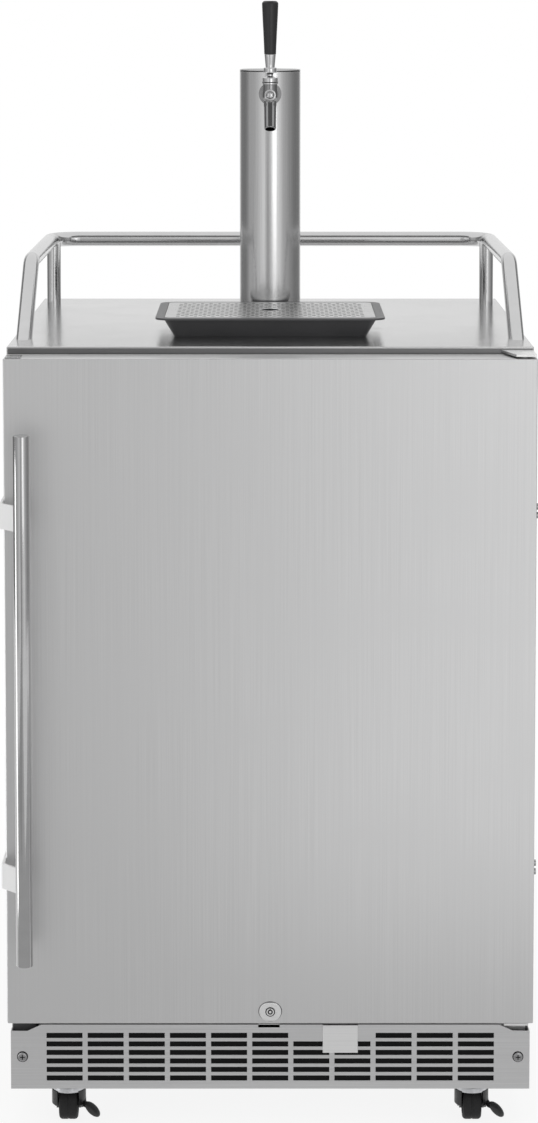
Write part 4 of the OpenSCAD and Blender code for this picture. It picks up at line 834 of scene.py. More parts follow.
    def wall(self):
        """Round wall, bright in front and darker towards the back, that only reflections see."""
        bpy.ops.mesh.primitive_cylinder_add(
            vertices=96, radius=self.WALL_RADIUS, depth=self.WALL_HEIGHT, end_fill_type="NOTHING",
            location=(0, 0, self.WALL_HEIGHT / 2))
        tree, glow = self.mirrored_only(settle(bpy.context.object, "studio_wall"))
        place = tree.nodes.new("ShaderNodeTexCoord")
        sweep = tree.nodes.new("ShaderNodeTexGradient")
        sweep.gradient_type = "RADIAL"
        ramp = tree.nodes.new("ShaderNodeValToRGB")
        stops = ramp.color_ramp.elements
        wire(tree, place.outputs["Object"], sweep.inputs["Vector"])
        wire(tree, sweep.outputs["Fac"], ramp.inputs["Fac"])
        wire(tree, ramp.outputs["Color"], glow.inputs["Color"])
        tones = [(((azimuth + 90) % 360) / 360, grey) for azimuth, grey in self.WALL]
        for k, (spot, grey) in enumerate(sorted(tones)):
            stop = stops[k] if k < 2 else stops.new(spot)
            stop.position = spot
            stop.color = (grey, grey, grey, 1)

    def mirrored_only(self, obj):
        """Gives a stage piece a glow that only reflections see."""
        material = bpy.data.materials.new(obj.name)
        material.use_nodes = True
        tree = material.node_tree
        glow = tree.nodes.new("ShaderNodeEmission")
        wire(tree, glow.outputs[0], tree.nodes["Material Output"].inputs["Surface"])
        obj.data.materials.append(material)
        obj.visible_camera = False
        obj.visible_diffuse = False
        obj.visible_shadow = False
        obj.visible_transmission = False
        return tree, glow


class KEGCOOLER_OT_cabinet(bpy.types.Operator):
    """Folds the worktop's edges and softens the cabinet's sheets and hinges"""
    bl_idname = "keg_cooler.cabinet"
    bl_label = "Cabinet"

    SHEET = 1.2 * MM
    SHEET_EDGE = 0.35 * MM

    def execute(self, context):
        top = copy_of("worktop", "worktop_piece")
        low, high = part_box("worktop")
        rim, corner = rim_of(low, high, 2, high.z), corner_of(low, high)
        chamfer(top, lambda edge: rim(edge) or corner(edge), sizes().fold, 4)
        stand_in(flatten(smooth(top)), "worktop")
        # Painted shade: a dark steel strip on the worktop's front lip, for the shade above the door's top
        # edge
        strip = block("worktop_shade_strip", (low.x + MM, low.y - 0.25 * MM, low.z + 0.2 * MM),
                      (high.x - MM, low.y + 0.4 * MM, high.z - 1.9 * MM))
        dress(soften(strip, 0.12 * MM), BODY_OF["worktop"], "worktop_steel", "painted_shade_strip")
        for side, inner in (("left", 1), ("right", -1)):
            self.side_panel("side_panel_" + side, "front_flange_" + side, inner)
        for node in ("back_panel", "face_frame", "base_pan"):
            soft_copy(node, self.SHEET_EDGE)
        for node in ("top_hinge", "bottom_hinge"):
            soft_copy(node, sizes().edge, 3)
        return {"FINISHED"}

    def side_panel(self, node, shaded_flange_name, inner):
        """Steel side, and its front flange as dark trim, painted shade for the gap above the door."""
        low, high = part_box(node)
        side, front = self.SHEET * inner, self.SHEET
        outer = low.x if inner > 0 else high.x
        edge = high.x if inner > 0 else low.x
        corners = sorted((outer + side, edge))
        panel = copy_of(node, node + "_piece")
        cut(panel, block("flange", (corners[0] - (inner < 0) * MM, low.y - MM, low.z - MM),
                         (corners[1] + (inner > 0) * MM, low.y + front, high.z + MM)))
        stand_in(soften(panel, self.SHEET_EDGE), node)
        # Painted shade: the steel flange is drawn as dark trim for the shade in the gap above the door
        flange = block(shaded_flange_name, (corners[0], low.y, low.z), (corners[1], low.y + front, high.z))
        dress(soften(flange, self.SHEET_EDGE), BODY_OF[node], "frame_trim")


class KEGCOOLER_OT_door(bpy.types.Operator):
    """Folds the door's skin and models its inner panel, seal, bar, brackets and lock"""
    bl_idname = "keg_cooler.door"
    bl_label = "Door"

    PANEL_RIM = 46 * MM
    PANEL_SINK = 2.4 * MM
    # Millimetres by which the dark seat, painted shade round the lock's plate, shows beyond it
    SHADE_SEAT_RIM = 0.9

    def execute(self, context):
        skin = copy_of("door_skin", "door_skin_piece")
        low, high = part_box("door_skin")
        rim, corner = rim_of(low, high, 1, low.y), corner_of(low, high, 1)
        chamfer(skin, lambda edge: rim(edge) or corner(edge), sizes().fold, 4)
        stand_in(flatten(smooth(skin)), "door_skin")
        self.inner_panel()
        soft_copy("door_gasket", 2.2 * MM, 3)
        self.bar()
        soft_copy("handle_brackets", sizes().edge, 3, look="bracket_satin")
        soft_copy("door_fasteners", 0.4 * MM)
        self.lock()
        return {"FINISHED"}

    def inner_panel(self):
        """Moulded panel with a sunk middle."""
        low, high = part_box("door_inner_panel")
        panel = block("door_inner_panel_piece", low, high)
        hold(panel, "EDIT")
        pick(panel, "FACE", facing(1, 1))
        bpy.ops.mesh.inset(thickness=self.PANEL_RIM)
        bpy.ops.mesh.extrude_region_move(TRANSFORM_OT_translate={"value": (0, -self.PANEL_SINK, 0)})
        bpy.ops.mesh.inset(thickness=1.6 * MM)
        bpy.ops.object.mode_set(mode="OBJECT")
        soften(panel, 0.9 * MM, 3)
        x, _, z = middle("lock_housing")
        cut(panel, rod("barrel_hole", (x, low.y - MM, z), (x, high.y + MM, z), 8.1 * MM))
        stand_in(flatten(smooth(panel)), "door_inner_panel")

    def bar(self):
        """Round bar with broken ends."""
        low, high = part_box("door_handle")
        mid = (low + high) / 2
        radius = (high.x - low.x) / 2
        bar = rod("door_handle_piece", (mid.x, mid.y, low.z), (mid.x, mid.y, high.z), radius, 64)
        chamfer(bar, lambda edge: at(2, low.z)(edge) or at(2, high.z)(edge), 1.0 * MM, 3)
        stand_in(smooth(bar), "door_handle", look="handle_tube")

    def lock(self):
        """Oval plate on a dark seat of painted shade, a round keyway with its middle post, and dark rings of
        painted shade in the keyway and round the cylinder.
        """
        soft_copy("lock_housing", 0.9 * MM, 3)
        plate_low, plate_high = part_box("lock_housing")
        spot = (plate_low + plate_high) / 2
        face = span("door_skin", 1)[0]
        rim = (plate_high.x - plate_low.x) / 2 / MM + self.SHADE_SEAT_RIM
        # Painted shade: a dark seat that shows round the plate as the shade in the gap behind it
        seat = lathe("lock_shade_seat", profile(
            (rim - 4, 0), (rim, 0), (rim, 0.2), (rim - 0.3, 0.5), (rim - 4, 0.5), (rim - 4, 0)),
            (spot.x, face, spot.z), (90, 0, 0), 48)
        hold(seat, "EDIT")
        bpy.ops.mesh.select_all(action="SELECT")
        tall = (plate_high.z - plate_low.z) / 2 / MM + self.SHADE_SEAT_RIM
        bpy.ops.transform.resize(value=(1, 1, tall / rim), center_override=(spot.x, face, spot.z))
        bpy.ops.object.mode_set(mode="OBJECT")
        dress(smooth(seat), BODY_OF["lock_housing"], "gasket")
        low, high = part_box("lock_cylinder")
        plug = copy_of("lock_cylinder", "lock_cylinder_piece")
        z = (low.z + high.z) / 2
        groove = lathe("keyway", band(1.5, 3.0, -1, 3.5), (0, low.y, z), (-90, 0, 0), 32)
        notch = block("notch", (-0.6 * MM, low.y - MM, z + 2.5 * MM),
                      (0.6 * MM, low.y + 3 * MM, z + 3.9 * MM))
        stand_in(soften(cut(plug, groove, notch), 0.2 * MM), "lock_cylinder")
        # Painted shade: dark rings in the keyway and in the gap round the cylinder
        key_shade_ring = lathe("lock_key_shade_ring", band(1.6, 2.9, 0.3, 1.2), (0, low.y, z), (-90, 0, 0), 32)
        dress(key_shade_ring, BODY_OF["lock_cylinder"], "gasket", "painted_shade_edge")
        gap_shade_ring = lathe("lock_gap_shade_ring", band(4.4, 5.2, -0.15, 0.6),
                         (spot.x, min(low.y, plate_low.y), spot.z), (-90, 0, 0), 40)
        dress(gap_shade_ring, BODY_OF["lock_housing"], "gasket", "painted_shade_edge")


class KEGCOOLER_OT_grille(bpy.types.Operator):
    """Models the kick grille, its cover plate and the cross-head screws"""
    bl_idname = "keg_cooler.grille"
    bl_label = "Grille"

    # Radius of the grille's screw heads in millimetres
    SCREW_RADIUS = 5.5
    FLANGE_RADIUS = 50 * MM
    BOLT_CIRCLE = 45 * MM

    def execute(self, context):
        low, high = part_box("kick_grille")
        face = copy_of("kick_grille", "kick_grille_piece")
        cut(face, block("cam_notch", (-14 * MM, low.y - MM, high.z - 3.4 * MM),
                        (11 * MM, low.y + 3 * MM, high.z + MM)))
        stand_in(soften(face, 0.3 * MM), "kick_grille")
        soft_copy("dust_screen", 0.4 * MM, look="screen_foam")
        low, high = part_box("cover_plate")
        plate = block("cover_plate_piece", low, high)
        chamfer(plate, at(1, low.y), 0.7 * MM, 3)
        stand_in(flatten(smooth(plate)), "cover_plate")
        self.screws()
        return {"FINISHED"}

    def screws(self):
        """Screws of the grille with dark seats and crosses of painted shade round and in their heads, and
        those of the tower's flange.
        """
        front, z = span("kick_grille", 1)[0], middle("kick_grille").z
        out = span("cabinet_screws", 0)[1] - self.SCREW_RADIUS * MM
        heads = [self.screw(self.SCREW_RADIUS, 2.5, (side * out, front, z), tilt=90) for side in (-1, 1)]
        # Painted shade: dark rings round the screw heads and dark crosses in their recesses
        seat = profile((4.8, 0), (6.4, 0), (6.4, 0.3), (6.0, 0.5), (4.8, 0.5), (4.8, 0))
        seats = [lathe("seat", seat, (side * out, front, z), (90, 0, 0), 40) for side in (-1, 1)]
        for x in (-out, out):
            centre = Vector((x, front - 1.7 * MM, z))
            for long_x, long_z in ((2.7, 0.55), (0.55, 2.7)):
                half = Vector(mm(long_x, 0.3, long_z))
                seats.append(soften(block("cross", centre - half, centre + half), 0.1 * MM))
        dress(join("screw_shade_seats", *seats), "cabinet", "gasket", "painted_shade_edge")
        low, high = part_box("tower_flange")
        axis_y = high.y - self.FLANGE_RADIUS
        for k in range(4):
            angle = math.radians(45 + 90 * k)
            x, y = self.BOLT_CIRCLE * math.cos(angle), self.BOLT_CIRCLE * math.sin(angle)
            heads.append(self.screw(3.0, 2.0, (x, axis_y + y, low.z + 4 * MM), spin=30 * k))
        stand_in(join("cabinet_screws_piece", *heads), "cabinet_screws")

    def screw(self, r, h, base, tilt=0, spin=0):
        """A pan head with a cross, of a radius and height in millimetres."""
        head = lathe("screw", profile(
            (0, 0), (r, 0), (r, 0.3 * h), *arc(r - 0.6 * h, 0.4 * h, 0.6 * h, 0, 60, 4),
            (0.4 * r, h), (0, h)), steps=40)
        long, thin, deep = 0.52 * r, 0.11 * r, 0.45 * h
        for x, y in ((long, thin), (thin, long)):
            cut(head, block("cross", mm(-x, -y, h - deep), mm(x, y, h + 1)))
        head.rotation_euler = (math.radians(tilt), 0, math.radians(spin))
        head.location = base
        return smooth(settle(head, "screw"))


class KEGCOOLER_OT_rails(bpy.types.Operator):
    """Bends the three parts of the guard rail"""
    bl_idname = "keg_cooler.rails"
    bl_label = "Guard rail"

    RADIUS = 9.5 * MM
    POST_RADIUS = 9.0 * MM
    # Where along the corner bend the rear posts stand
    POST_TURN = math.radians(25)

    def execute(self, context):
        for node in ("guard_rail_left", "guard_rail_right"):
            self.side(node)
        self.rear()
        return {"FINISHED"}

    def side(self, node):
        """Leaning leg cut flush with the worktop, bend and side bar."""
        low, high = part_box(node)
        bend, lean = sizes().rail_bend, sizes().leg_lean
        x, z = (low.x + high.x) / 2, high.z - self.RADIUS
        angle = math.atan2(z - low.z, lean)
        along_leg = Vector((0, math.cos(angle), math.sin(angle)))
        foot = Vector((x, low.y + self.RADIUS / math.sin(angle), low.z))
        bend_y = foot.y + lean + bend * math.tan(angle / 2)
        points = [foot - along_leg * 3 * self.RADIUS]
        points += reversed(bend_points((x, bend_y, z - bend), (0, 0, 1), (0, -1, 0), bend, angle))
        points.append((x, high.y, z))
        rail = tube(node + "_piece", points, self.RADIUS)
        hold(rail, "EDIT")
        bpy.ops.mesh.select_all(action="SELECT")
        bpy.ops.mesh.bisect(plane_co=foot, plane_no=(0, 0, 1), use_fill=True, clear_inner=True)
        bpy.ops.object.mode_set(mode="OBJECT")
        stand_in(smooth(rail, BEND_CREASE), node)

    def rear(self):
        """Rear bar with both corner bends, and its posts."""
        low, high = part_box("guard_rail_rear")
        bend = sizes().rail_bend
        x, z = high.x - self.RADIUS, high.z - self.RADIUS
        turn_y = high.y - self.RADIUS - bend
        points = [(x, low.y, z)]
        points += bend_points((x - bend, turn_y, z), (1, 0, 0), (0, 1, 0), bend)
        points += bend_points((bend - x, turn_y, z), (0, 1, 0), (-1, 0, 0), bend)
        points.append((-x, low.y, z))
        rail = tube("guard_rail_rear_piece", points, self.RADIUS)
        post_x = x - bend * (1 - math.cos(self.POST_TURN))
        post_y = turn_y + bend * math.sin(self.POST_TURN)
        for side in (-1, 1):
            foot = Vector((side * post_x, post_y, low.z))
            cut(rail, rod("post", foot, (foot.x, foot.y, z), self.POST_RADIUS), operation="UNION")
        stand_in(smooth(rail, POST_CREASE), "guard_rail_rear")


class KEGCOOLER_OT_tower(bpy.types.Operator):
    """Spins the tower's column and cap and softens its base"""
    bl_idname = "keg_cooler.tower"
    bl_label = "Tower"

    def execute(self, context):
        low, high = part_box("tower_column")
        mid = (low + high) / 2
        r = (high.x - low.x) / 2 / MM
        h = (high.z - low.z) / MM
        tap_z = middle("tap_shank").z
        up = (tap_z - low.z) / MM
        column = lathe("tower_column_piece", profile(
            (r - 2, 0), (r - 0.4, 0), (r, 0.4), (r, up - 18), (r, up + 18),
            (r, h - 0.7), (r - 0.7, h), (r - 2, h), (r - 2, 0)),
            (mid.x, mid.y, low.z), steps=128)
        hole = rod("hole", (0, low.y - 20 * MM, tap_z), (0, mid.y, tap_z), 10.05 * MM)
        stand_in(smooth(cut(column, hole)), "tower_column")
        cap_low, cap_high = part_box("tower_cap")
        top = (cap_high.z - cap_low.z) / MM
        seam = top - (cap_high.z - high.z) / MM
        cap = lathe("tower_cap_piece", profile(
            (0, 0), (r - 2.1, 0), (r - 2.1, seam), (r - 0.7, seam), (r, seam + 0.6),
            *arc(r - 1.3, top - 1.3, 1.3, 0, 90, 6), *arc(r - 2.6, top - 0.5, 0.5, 90, 180, 4),
            (r - 3.2, top - 1.9), *arc(r - 3.9, top - 1.6, 0.7, -10, -80, 4), (0, top - 2.3)),
            (mid.x, mid.y, cap_low.z), steps=128)
        stand_in(cap, "tower_cap")
        # Painted shade: a dark ring in the seam between the cap and the column
        line = lathe("tower_cap_shade_line", band(r - 2, r - 0.15, seam, seam + 0.55),
                     (mid.x, mid.y, cap_low.z), steps=96)
        dress(line, BODY_OF["tower_cap"], "gasket", "painted_shade_edge")
        soft_copy("tower_flange", 0.8 * MM, 3)
        return {"FINISHED"}


class KEGCOOLER_OT_tap(bpy.types.Operator):
    """Casts the tap's body and spins its collar, bonnet, lever and handle"""
    bl_idname = "keg_cooler.tap"
    bl_label = "Tap"

    TILT = 26
    COLLAR_HOLES = 6
    # Height of the lever's ball above the bonnet's foot, and depth of the handle's bore, in millimetres
    BALL_UP = 3
    HANDLE_BORE = 12.2

    def execute(self, context):
        self.shank()
        self.body()
        self.bonnet()
        self.lever()
        self.handle()
        return {"FINISHED"}

    def shank(self):
        """Flange, nut and coupling collar with its spanner holes."""
        shank = copy_of("tap_shank", "tap_shank_piece")
        y, z = span("tap_shank", 1)[0] + 9.25 * MM, middle("tap_shank").z
        centre = Vector((0, y, z))
        for k in range(self.COLLAR_HOLES):
            angle = math.radians(30) + math.tau * k / self.COLLAR_HOLES
            out = Vector((math.cos(angle), 0, math.sin(angle)))
            cut(shank, rod("spanner_hole", centre + out * 11.4 * MM, centre + out * 15 * MM, 2.2 * MM, 20))
        # The collar takes the shaded chrome, a darker copy of the tap chrome that paints its shade
        stand_in(soften(shank, 0.5 * MM, 2), "tap_shank", look="shaded_chrome")

    def body(self):
        """Cast body: barrel, egg-shaped hub and spout, with the chamber and the bores."""
        y, z = middle("tap_lever").y, middle("tap_shank").z
        tail, valve_front = span("tap_body", 1)[1], span("tap_valve", 1)[0]
        hub = lathe("tap_body_piece", profile(
            (0, -13.5), *arc(0, -1, 9.4, -80, 0, 10), (9.4, 3), (8.9, 7), (8.9, 13), (0, 13)),
            (0, y, z), steps=72)
        barrel = lathe("barrel", profile(
            (0, 0), (9, 0), (9, 7.6), (10.2, 8.4), (10.2, 20), (8.6, 24), (8.6, 40), (0, 40)),
            (0, tail, z), (90, 0, 0))
        tilt = math.radians(self.TILT)
        root = Vector((0, y + 6 * MM, z))
        down = Vector((0, -math.sin(tilt), -math.cos(tilt)))
        spout = lathe("spout", profile(
            (0, 0), (7.9, 0), (7.9, 14), (7.5, 17), (7.1, 44.8), *arc(6.4, 45.3, 0.7, 0, 80, 4), (0, 46)),
            root, (180 - self.TILT, 0, 0))
        cut(hub, barrel, spout, operation="UNION")
        modify(hub, "REMESH", mode="VOXEL", voxel_size=0.5 * MM)
        modify(hub, "SMOOTH", factor=0.5, iterations=8)
        chamber = rod("chamber", (0, y, z - 4 * MM), (0, y, span("tap_bonnet", 2)[1]), 8.2 * MM)
        guide = rod("guide", (0, valve_front - 0.3 * MM, z), (0, y, z), 4.55 * MM)
        inlet = rod("inlet", (0, y, z), (0, tail + MM, z), 6.5 * MM)
        bore = rod("bore", root, root + down * 47 * MM, 5.4 * MM)
        cut(hub, chamber, guide, inlet, bore)
        weld(hub, MERGE, drop_slivers)
        # The body takes the shaded chrome, painted shade against its front nut and valve tip in the bright
        # tap chrome
        stand_in(smooth(hub, BEND_CREASE), "tap_body", look="shaded_chrome")
        nut = lathe("tap_front_nut", profile(
            (4.7, -3.4), (6.4, -3.4), (6.9, -2.9), (6.9, -0.6), *arc(6.3, -0.2, 0.6, 0, 90, 4), (5.5, 0.4),
            (5.2, -0.1), (4.7, -0.1), (4.7, -3.4)),
            (0, y - 9.4 * MM, z), (90, 0, 0), 48)
        dress(smooth(nut), BODY_OF["tap_body"], SLOT_OF["tap_body"])
        tip = lathe("tap_valve_tip", profile(
            (0, -0.4), (3.7, -0.4), (3.7, 0.2), (3.0, 0.8), (1.2, 1.0), (0, 1.0)),
            (0, valve_front, z), (90, 0, 0), 40)
        dress(smooth(tip), BODY_OF["tap_valve"], SLOT_OF["tap_body"])

    def bonnet(self):
        """Round cap nut over the ball."""
        low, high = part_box("tap_bonnet")
        mid = (low + high) / 2
        h = (high.z - low.z) / MM
        ball = arc(0, self.BALL_UP, 8.5, 40, -20.7, 10)
        bonnet = lathe("tap_bonnet_piece", profile(
            *ball, (9.5, 0), (9.5, 1.6), (9.1, 2), (9.1, 2.6), (9.5, 3), *arc(8.1, h - 1.4, 1.4, 0, 90, 6),
            ball[0]),
            (mid.x, mid.y, low.z), steps=64)
        pin_z = low.z + self.BALL_UP * MM
        pin = rod("pin_hole", (-12 * MM, mid.y, pin_z), (12 * MM, mid.y, pin_z), 1.6 * MM, 24)
        stand_in(smooth(cut(bonnet, pin)), "tap_bonnet")
        # Painted shade: a dark ring in the bonnet's groove
        line = lathe("tap_bonnet_shade_line", band(8.9, 9.35, 1.9, 2.7), (mid.x, mid.y, low.z), steps=48)
        dress(line, BODY_OF["tap_bonnet"], "gasket", "painted_shade_edge")

    def lever(self):
        """Ball, stem, collar and ferrule in one, with the pin and the finger."""
        low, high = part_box("tap_lever")
        mid = (low + high) / 2
        base = span("tap_bonnet", 2)[0] + self.BALL_UP * MM
        foot = (span("tap_handle", 2)[0] - base) / MM
        lever = lathe("tap_lever_piece", profile(
            (0, -8), *arc(0, 0, 8, -85, 64, 14), (3.6, 10.6), (6.8, 10.6), *arc(6.8, 11.8, 1.2, -80, 0, 4),
            *arc(6.8, 16.2, 1.2, 0, 80, 4), (5.6, 17.4), (5.6, 18.2), (6.9, foot - 1),
            *arc(6.4, foot - 0.6, 0.6, 0, 90, 4), (3.5, foot), (3.5, foot + 12), (0, foot + 12)),
            (mid.x, mid.y, base), steps=64)
        pin = rod("pin", (-9.8 * MM, mid.y, base), (9.8 * MM, mid.y, base), 1.5 * MM, 24)
        finger = rod("finger", (mid.x, mid.y, low.z), (mid.x, mid.y, base), 2 * MM, 24)
        cut(lever, pin, finger, operation="UNION")
        stand_in(smooth(lever), "tap_lever")
        # Painted shade: a dark ring round the lever's neck, between the ball and the collar
        shade_neck = lathe("tap_lever_shade_neck", band(3.4, 3.9, 9.0, 10.5), (mid.x, mid.y, base), steps=40)
        dress(shade_neck, BODY_OF["tap_lever"], "gasket", "painted_shade_edge")

    def handle(self):
        """Tapered black handle with a rounded top."""
        low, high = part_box("tap_handle")
        mid = (low + high) / 2
        h = (high.z - low.z) / MM
        r = (high.x - low.x) / 2 / MM
        handle = lathe("tap_handle_piece", profile(
            (3.6, self.HANDLE_BORE), (3.6, 0), (6.5, 0), *arc(6.5, 0.7, 0.7, -60, 0, 3), (7.5, 0.14 * h),
            (8.3, 0.4 * h), (9.3, 0.7 * h), *arc(r - 4, h - 4, 4, 0, 80, 8), (0, h)),
            (mid.x, mid.y, low.z), steps=64)
        self.close_bore(handle, low.z + self.HANDLE_BORE * MM)
        stand_in(smooth(handle), "tap_handle")

    def close_bore(self, handle, z):
        """Closes the blind end of the handle's bore."""
        hold(handle, "EDIT")
        pick(handle, "EDGE", lambda edge: edge.is_boundary and at(2, z)(edge))
        bpy.ops.mesh.fill()
        bpy.ops.mesh.select_all(action="SELECT")
        turn_outwards()
        bpy.ops.object.mode_set(mode="OBJECT")


class KEGCOOLER_OT_tray(bpy.types.Operator):
    """Moulds the drip tray with its grid seat and rounds the grid's corners"""
    bl_idname = "keg_cooler.tray"
    bl_label = "Drip tray"

    RIM = 2.4 * MM
    RIM_WIDTH = 10 * MM
    SEAT_DEPTH = 1.4 * MM
    FLOOR = 2.5 * MM

    def execute(self, context):
        low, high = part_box("drip_tray")
        rim_z = high.z - self.RIM
        mid = (low + high) / 2
        tray = block("drip_tray_piece", (low.x, low.y, rim_z), high)
        chamfer(tray, along(2), sizes().tray_corner, 8)
        hold(tray, "EDIT")
        pick(tray, "FACE", facing(2, -1))
        bpy.ops.mesh.inset(thickness=self.RIM_WIDTH)
        self.pull(mid, 0, 0)
        self.pull(mid, low.z - rim_z, 12 * MM)
        pick(tray, "FACE", facing(2, 1))
        bpy.ops.mesh.inset(thickness=10.4 * MM)
        self.pull(mid, -self.SEAT_DEPTH, 0)
        bpy.ops.mesh.inset(thickness=5.6 * MM)
        self.pull(mid, low.z + self.FLOOR - (high.z - self.SEAT_DEPTH), 8.5 * MM)
        bpy.ops.object.mode_set(mode="OBJECT")
        stand_in(soften(tray, 0.8 * MM, 3, 30), "drip_tray")
        grid_low, grid_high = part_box("drip_grid")
        grid = copy_of("drip_grid", "drip_grid_piece")
        chamfer(grid, corner_of(grid_low, grid_high), sizes().tray_corner - 11 * MM, 6)
        stand_in(flatten(smooth(grid)), "drip_grid")
        self.shade_hole_walls(grid)
        return {"FINISHED"}

    def shade_hole_walls(self, grid):
        """Painted shade: a dark film on the walls inside the punched holes."""
        low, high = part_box("drip_grid")
        edges = duplicate(grid, "drip_grid_hole_shade")
        hold(edges, "EDIT")

        def outside(face):
            """Whether a face belongs to the grid's outer edge."""
            mid = face.calc_center_median()
            return (min(mid.x - low.x, high.x - mid.x) < 8 * MM
                    or min(mid.y - low.y, high.y - mid.y) < 3 * MM)

        pick(edges, "FACE", lambda face: abs(face.normal.z) > 0.5 or outside(face))
        bpy.ops.mesh.delete(type="FACE")
        bpy.ops.object.mode_set(mode="OBJECT")
        modify(edges, "SOLIDIFY", thickness=0.3 * MM, offset=1.0)
        dress(edges, BODY_OF["drip_grid"], "tray_plastic", "painted_shade_edge")

    def pull(self, mid, depth, lean):
        """Draws the selected face along Z and pulls its outline in."""
        low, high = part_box("drip_tray")
        bpy.ops.mesh.extrude_region_move(TRANSFORM_OT_translate={"value": (0, 0, depth)})
        if lean:
            wide, deep = high.x - low.x - 2 * self.RIM_WIDTH, high.y - low.y - 2 * self.RIM_WIDTH
            shrink = (1 - 2 * lean / wide, 1 - 2 * lean / deep, 1)
            bpy.ops.transform.resize(value=shrink, center_override=mid)


class KEGCOOLER_OT_casters(bpy.types.Operator):
    """Spins one wheel for all casters and softens the forks, plates and brakes"""
    bl_idname = "keg_cooler.casters"
    bl_label = "Casters"

    SPOTS = ("front_left", "front_right", "rear_left", "rear_right")
    # Half sizes of a brake's oval paddle in millimetres, and its slope in degrees
    PAD = (11.6, 7.6, 4.4)
    PAD_SLOPE = 44

    def execute(self, context):
        wheel = self.wheel()
        for spot in self.SPOTS:
            node = "wheel_" + spot
            copy = duplicate(wheel, node + "_piece")
            copy.location = middle(node)
            stand_in(settle(copy, node + "_piece"), node)
            # The forks take the black paint look over their own slot, so that they are drawn dark
            soft_copy("fork_" + spot, 0.45 * MM, 2, look="black_paint")
            self.crown("crown_" + spot, "fork_" + spot, middle(node))
        bpy.data.objects.remove(wheel)
        soft_copy("caster_plates", 0.4 * MM)
        for side in ("left", "right"):
            self.brake("brake_front_" + side)
        return {"FINISHED"}

    def crown(self, name, fork, hub):
        """Pressed guard over the wheel's top."""
        crown = lathe(name, profile(
            (0, 24.5), (11, 24.2), *arc(14.5, 19.8, 4.4, 80, 8, 6), (19.2, 17.4), (19.2, 16.6), (18.2, 16.6),
            (18, 18.4), *arc(14.2, 19.4, 3.6, 0, 80, 5), (11, 23.2), (0, 23.5)), hub, steps=64)
        dress(smooth(crown), BODY_OF[fork], SLOT_OF[fork])
        skirt = lathe(name + "_skirt", profile(
            (14, 2), (19, -1), (20, 0), (20, 17.2), (19.6, 17.6), (14, 17.6), (14, 2)), hub, steps=64)
        room = Vector(mm(12.6, 25, 25))
        cut(skirt, block("wheel_room", hub - room, hub + room))
        dress(smooth(skirt), BODY_OF[fork], SLOT_OF[fork], "black_paint")

    def brake(self, node):
        """Hub, sloping arm and oval paddle of a wheel brake."""
        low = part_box(node)[0]
        axle = middle(node.replace("brake", "wheel"))
        hub = lathe(node + "_piece", profile(
            (0, 0), (6.2, 0), (6.6, 0.4), (6.6, 1.8), *arc(5.8, 1.8, 0.8, 0, 90, 4), (0, 2.6)),
            (low.x, axle.y, axle.z), (0, 90, 0), 40)
        start = Vector((low.x + 1.4 * MM, axle.y - 3 * MM, axle.z + 3 * MM))
        paddle = Vector((low.x + 13.8 * MM, low.y + 9.4 * MM, 16.5 * MM))
        slope = math.radians(self.PAD_SLOPE)
        tip = Vector((math.cos(slope), 0, -math.sin(slope)))
        knee = start.lerp(paddle, 0.45) + Vector(mm(-1.5, 0, -1))
        arm = tube("arm", [start, knee, paddle - tip * 3 * MM], 3.2 * MM)
        ball = 2.3
        pad = lathe("pad", profile((0, -ball), *arc(0, 0, ball, -80, 80, 12), (0, ball)), steps=40)
        pad.scale = [half / ball for half in self.PAD]
        pad.rotation_euler = (math.radians(20), slope, 0)
        pad.location = paddle
        stand_in(smooth(join(node + "_piece", hub, arm, settle(pad, "pad"))), node)

    def wheel(self):
        """Tyre with rounded shoulders, sunk sides and a hub."""
        half = profile(
            (3.1, 0), (3.1, 11.5), (6.8, 11.5), (7.2, 11.1), (7.2, 9.6), (7.8, 9.0), (12.6, 9.0), (13.4, 9.8),
            (13.8, 10.8), (14.4, 11), *arc(16, 7, 4, 90, 0, 6), (20, 1.2), (19.6, 0.8), (19.6, 0))
        other = [(r, -h) for r, h in reversed(half[1:-1])]
        wheel = lathe("wheel", half + other + half[:1], steps=72)
        wheel.rotation_euler = (0, math.pi / 2, 0)
        return smooth(settle(wheel, "wheel"))


class KEGCOOLER_OT_interior(bpy.types.Operator):
    """Softens the chamber's lining, its floor plate, covers, thermostat and fans"""
    bl_idname = "keg_cooler.interior"
    bl_label = "Interior"

    PLATE_HEIGHT = 16.4 * MM
    PLATE_THICKNESS = 1.1 * MM
    PLATE_GAP = 1.2 * MM

    def execute(self, context):
        for node, width in (
            ("lining", 0.7), ("keg_floor", 0.4), ("thermostat_housing", 3.0),
            ("thermostat_knob", 1.0), ("circulation_fan", 0.3),
        ):
            soft_copy(node, width * MM, 3)
        cover = copy_of("evaporator_cover", "evaporator_cover_piece", joined=False)
        stand_in(soften(cover, 0.2 * MM), "evaporator_cover")
        self.corners()
        return {"FINISHED"}

    def corners(self):
        """Plates that close the corners of the lining's front flange."""
        low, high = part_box("lining")
        wall = span("thermostat_housing", 0)[1]
        wide, tall = high.x - wall - self.PLATE_GAP, self.PLATE_HEIGHT
        front, back = low.y + 0.1 * MM, low.y + 0.1 * MM + self.PLATE_THICKNESS
        plates = []
        for x in (low.x, high.x - wide):
            for z in (low.z, high.z - tall):
                plate = block("corner", (x, front, z), (x + wide, back, z + tall))
                plates.append(soften(plate, 0.2 * MM))
        dress(join("lining_corners", *plates), BODY_OF["lining"], SLOT_OF["lining"])


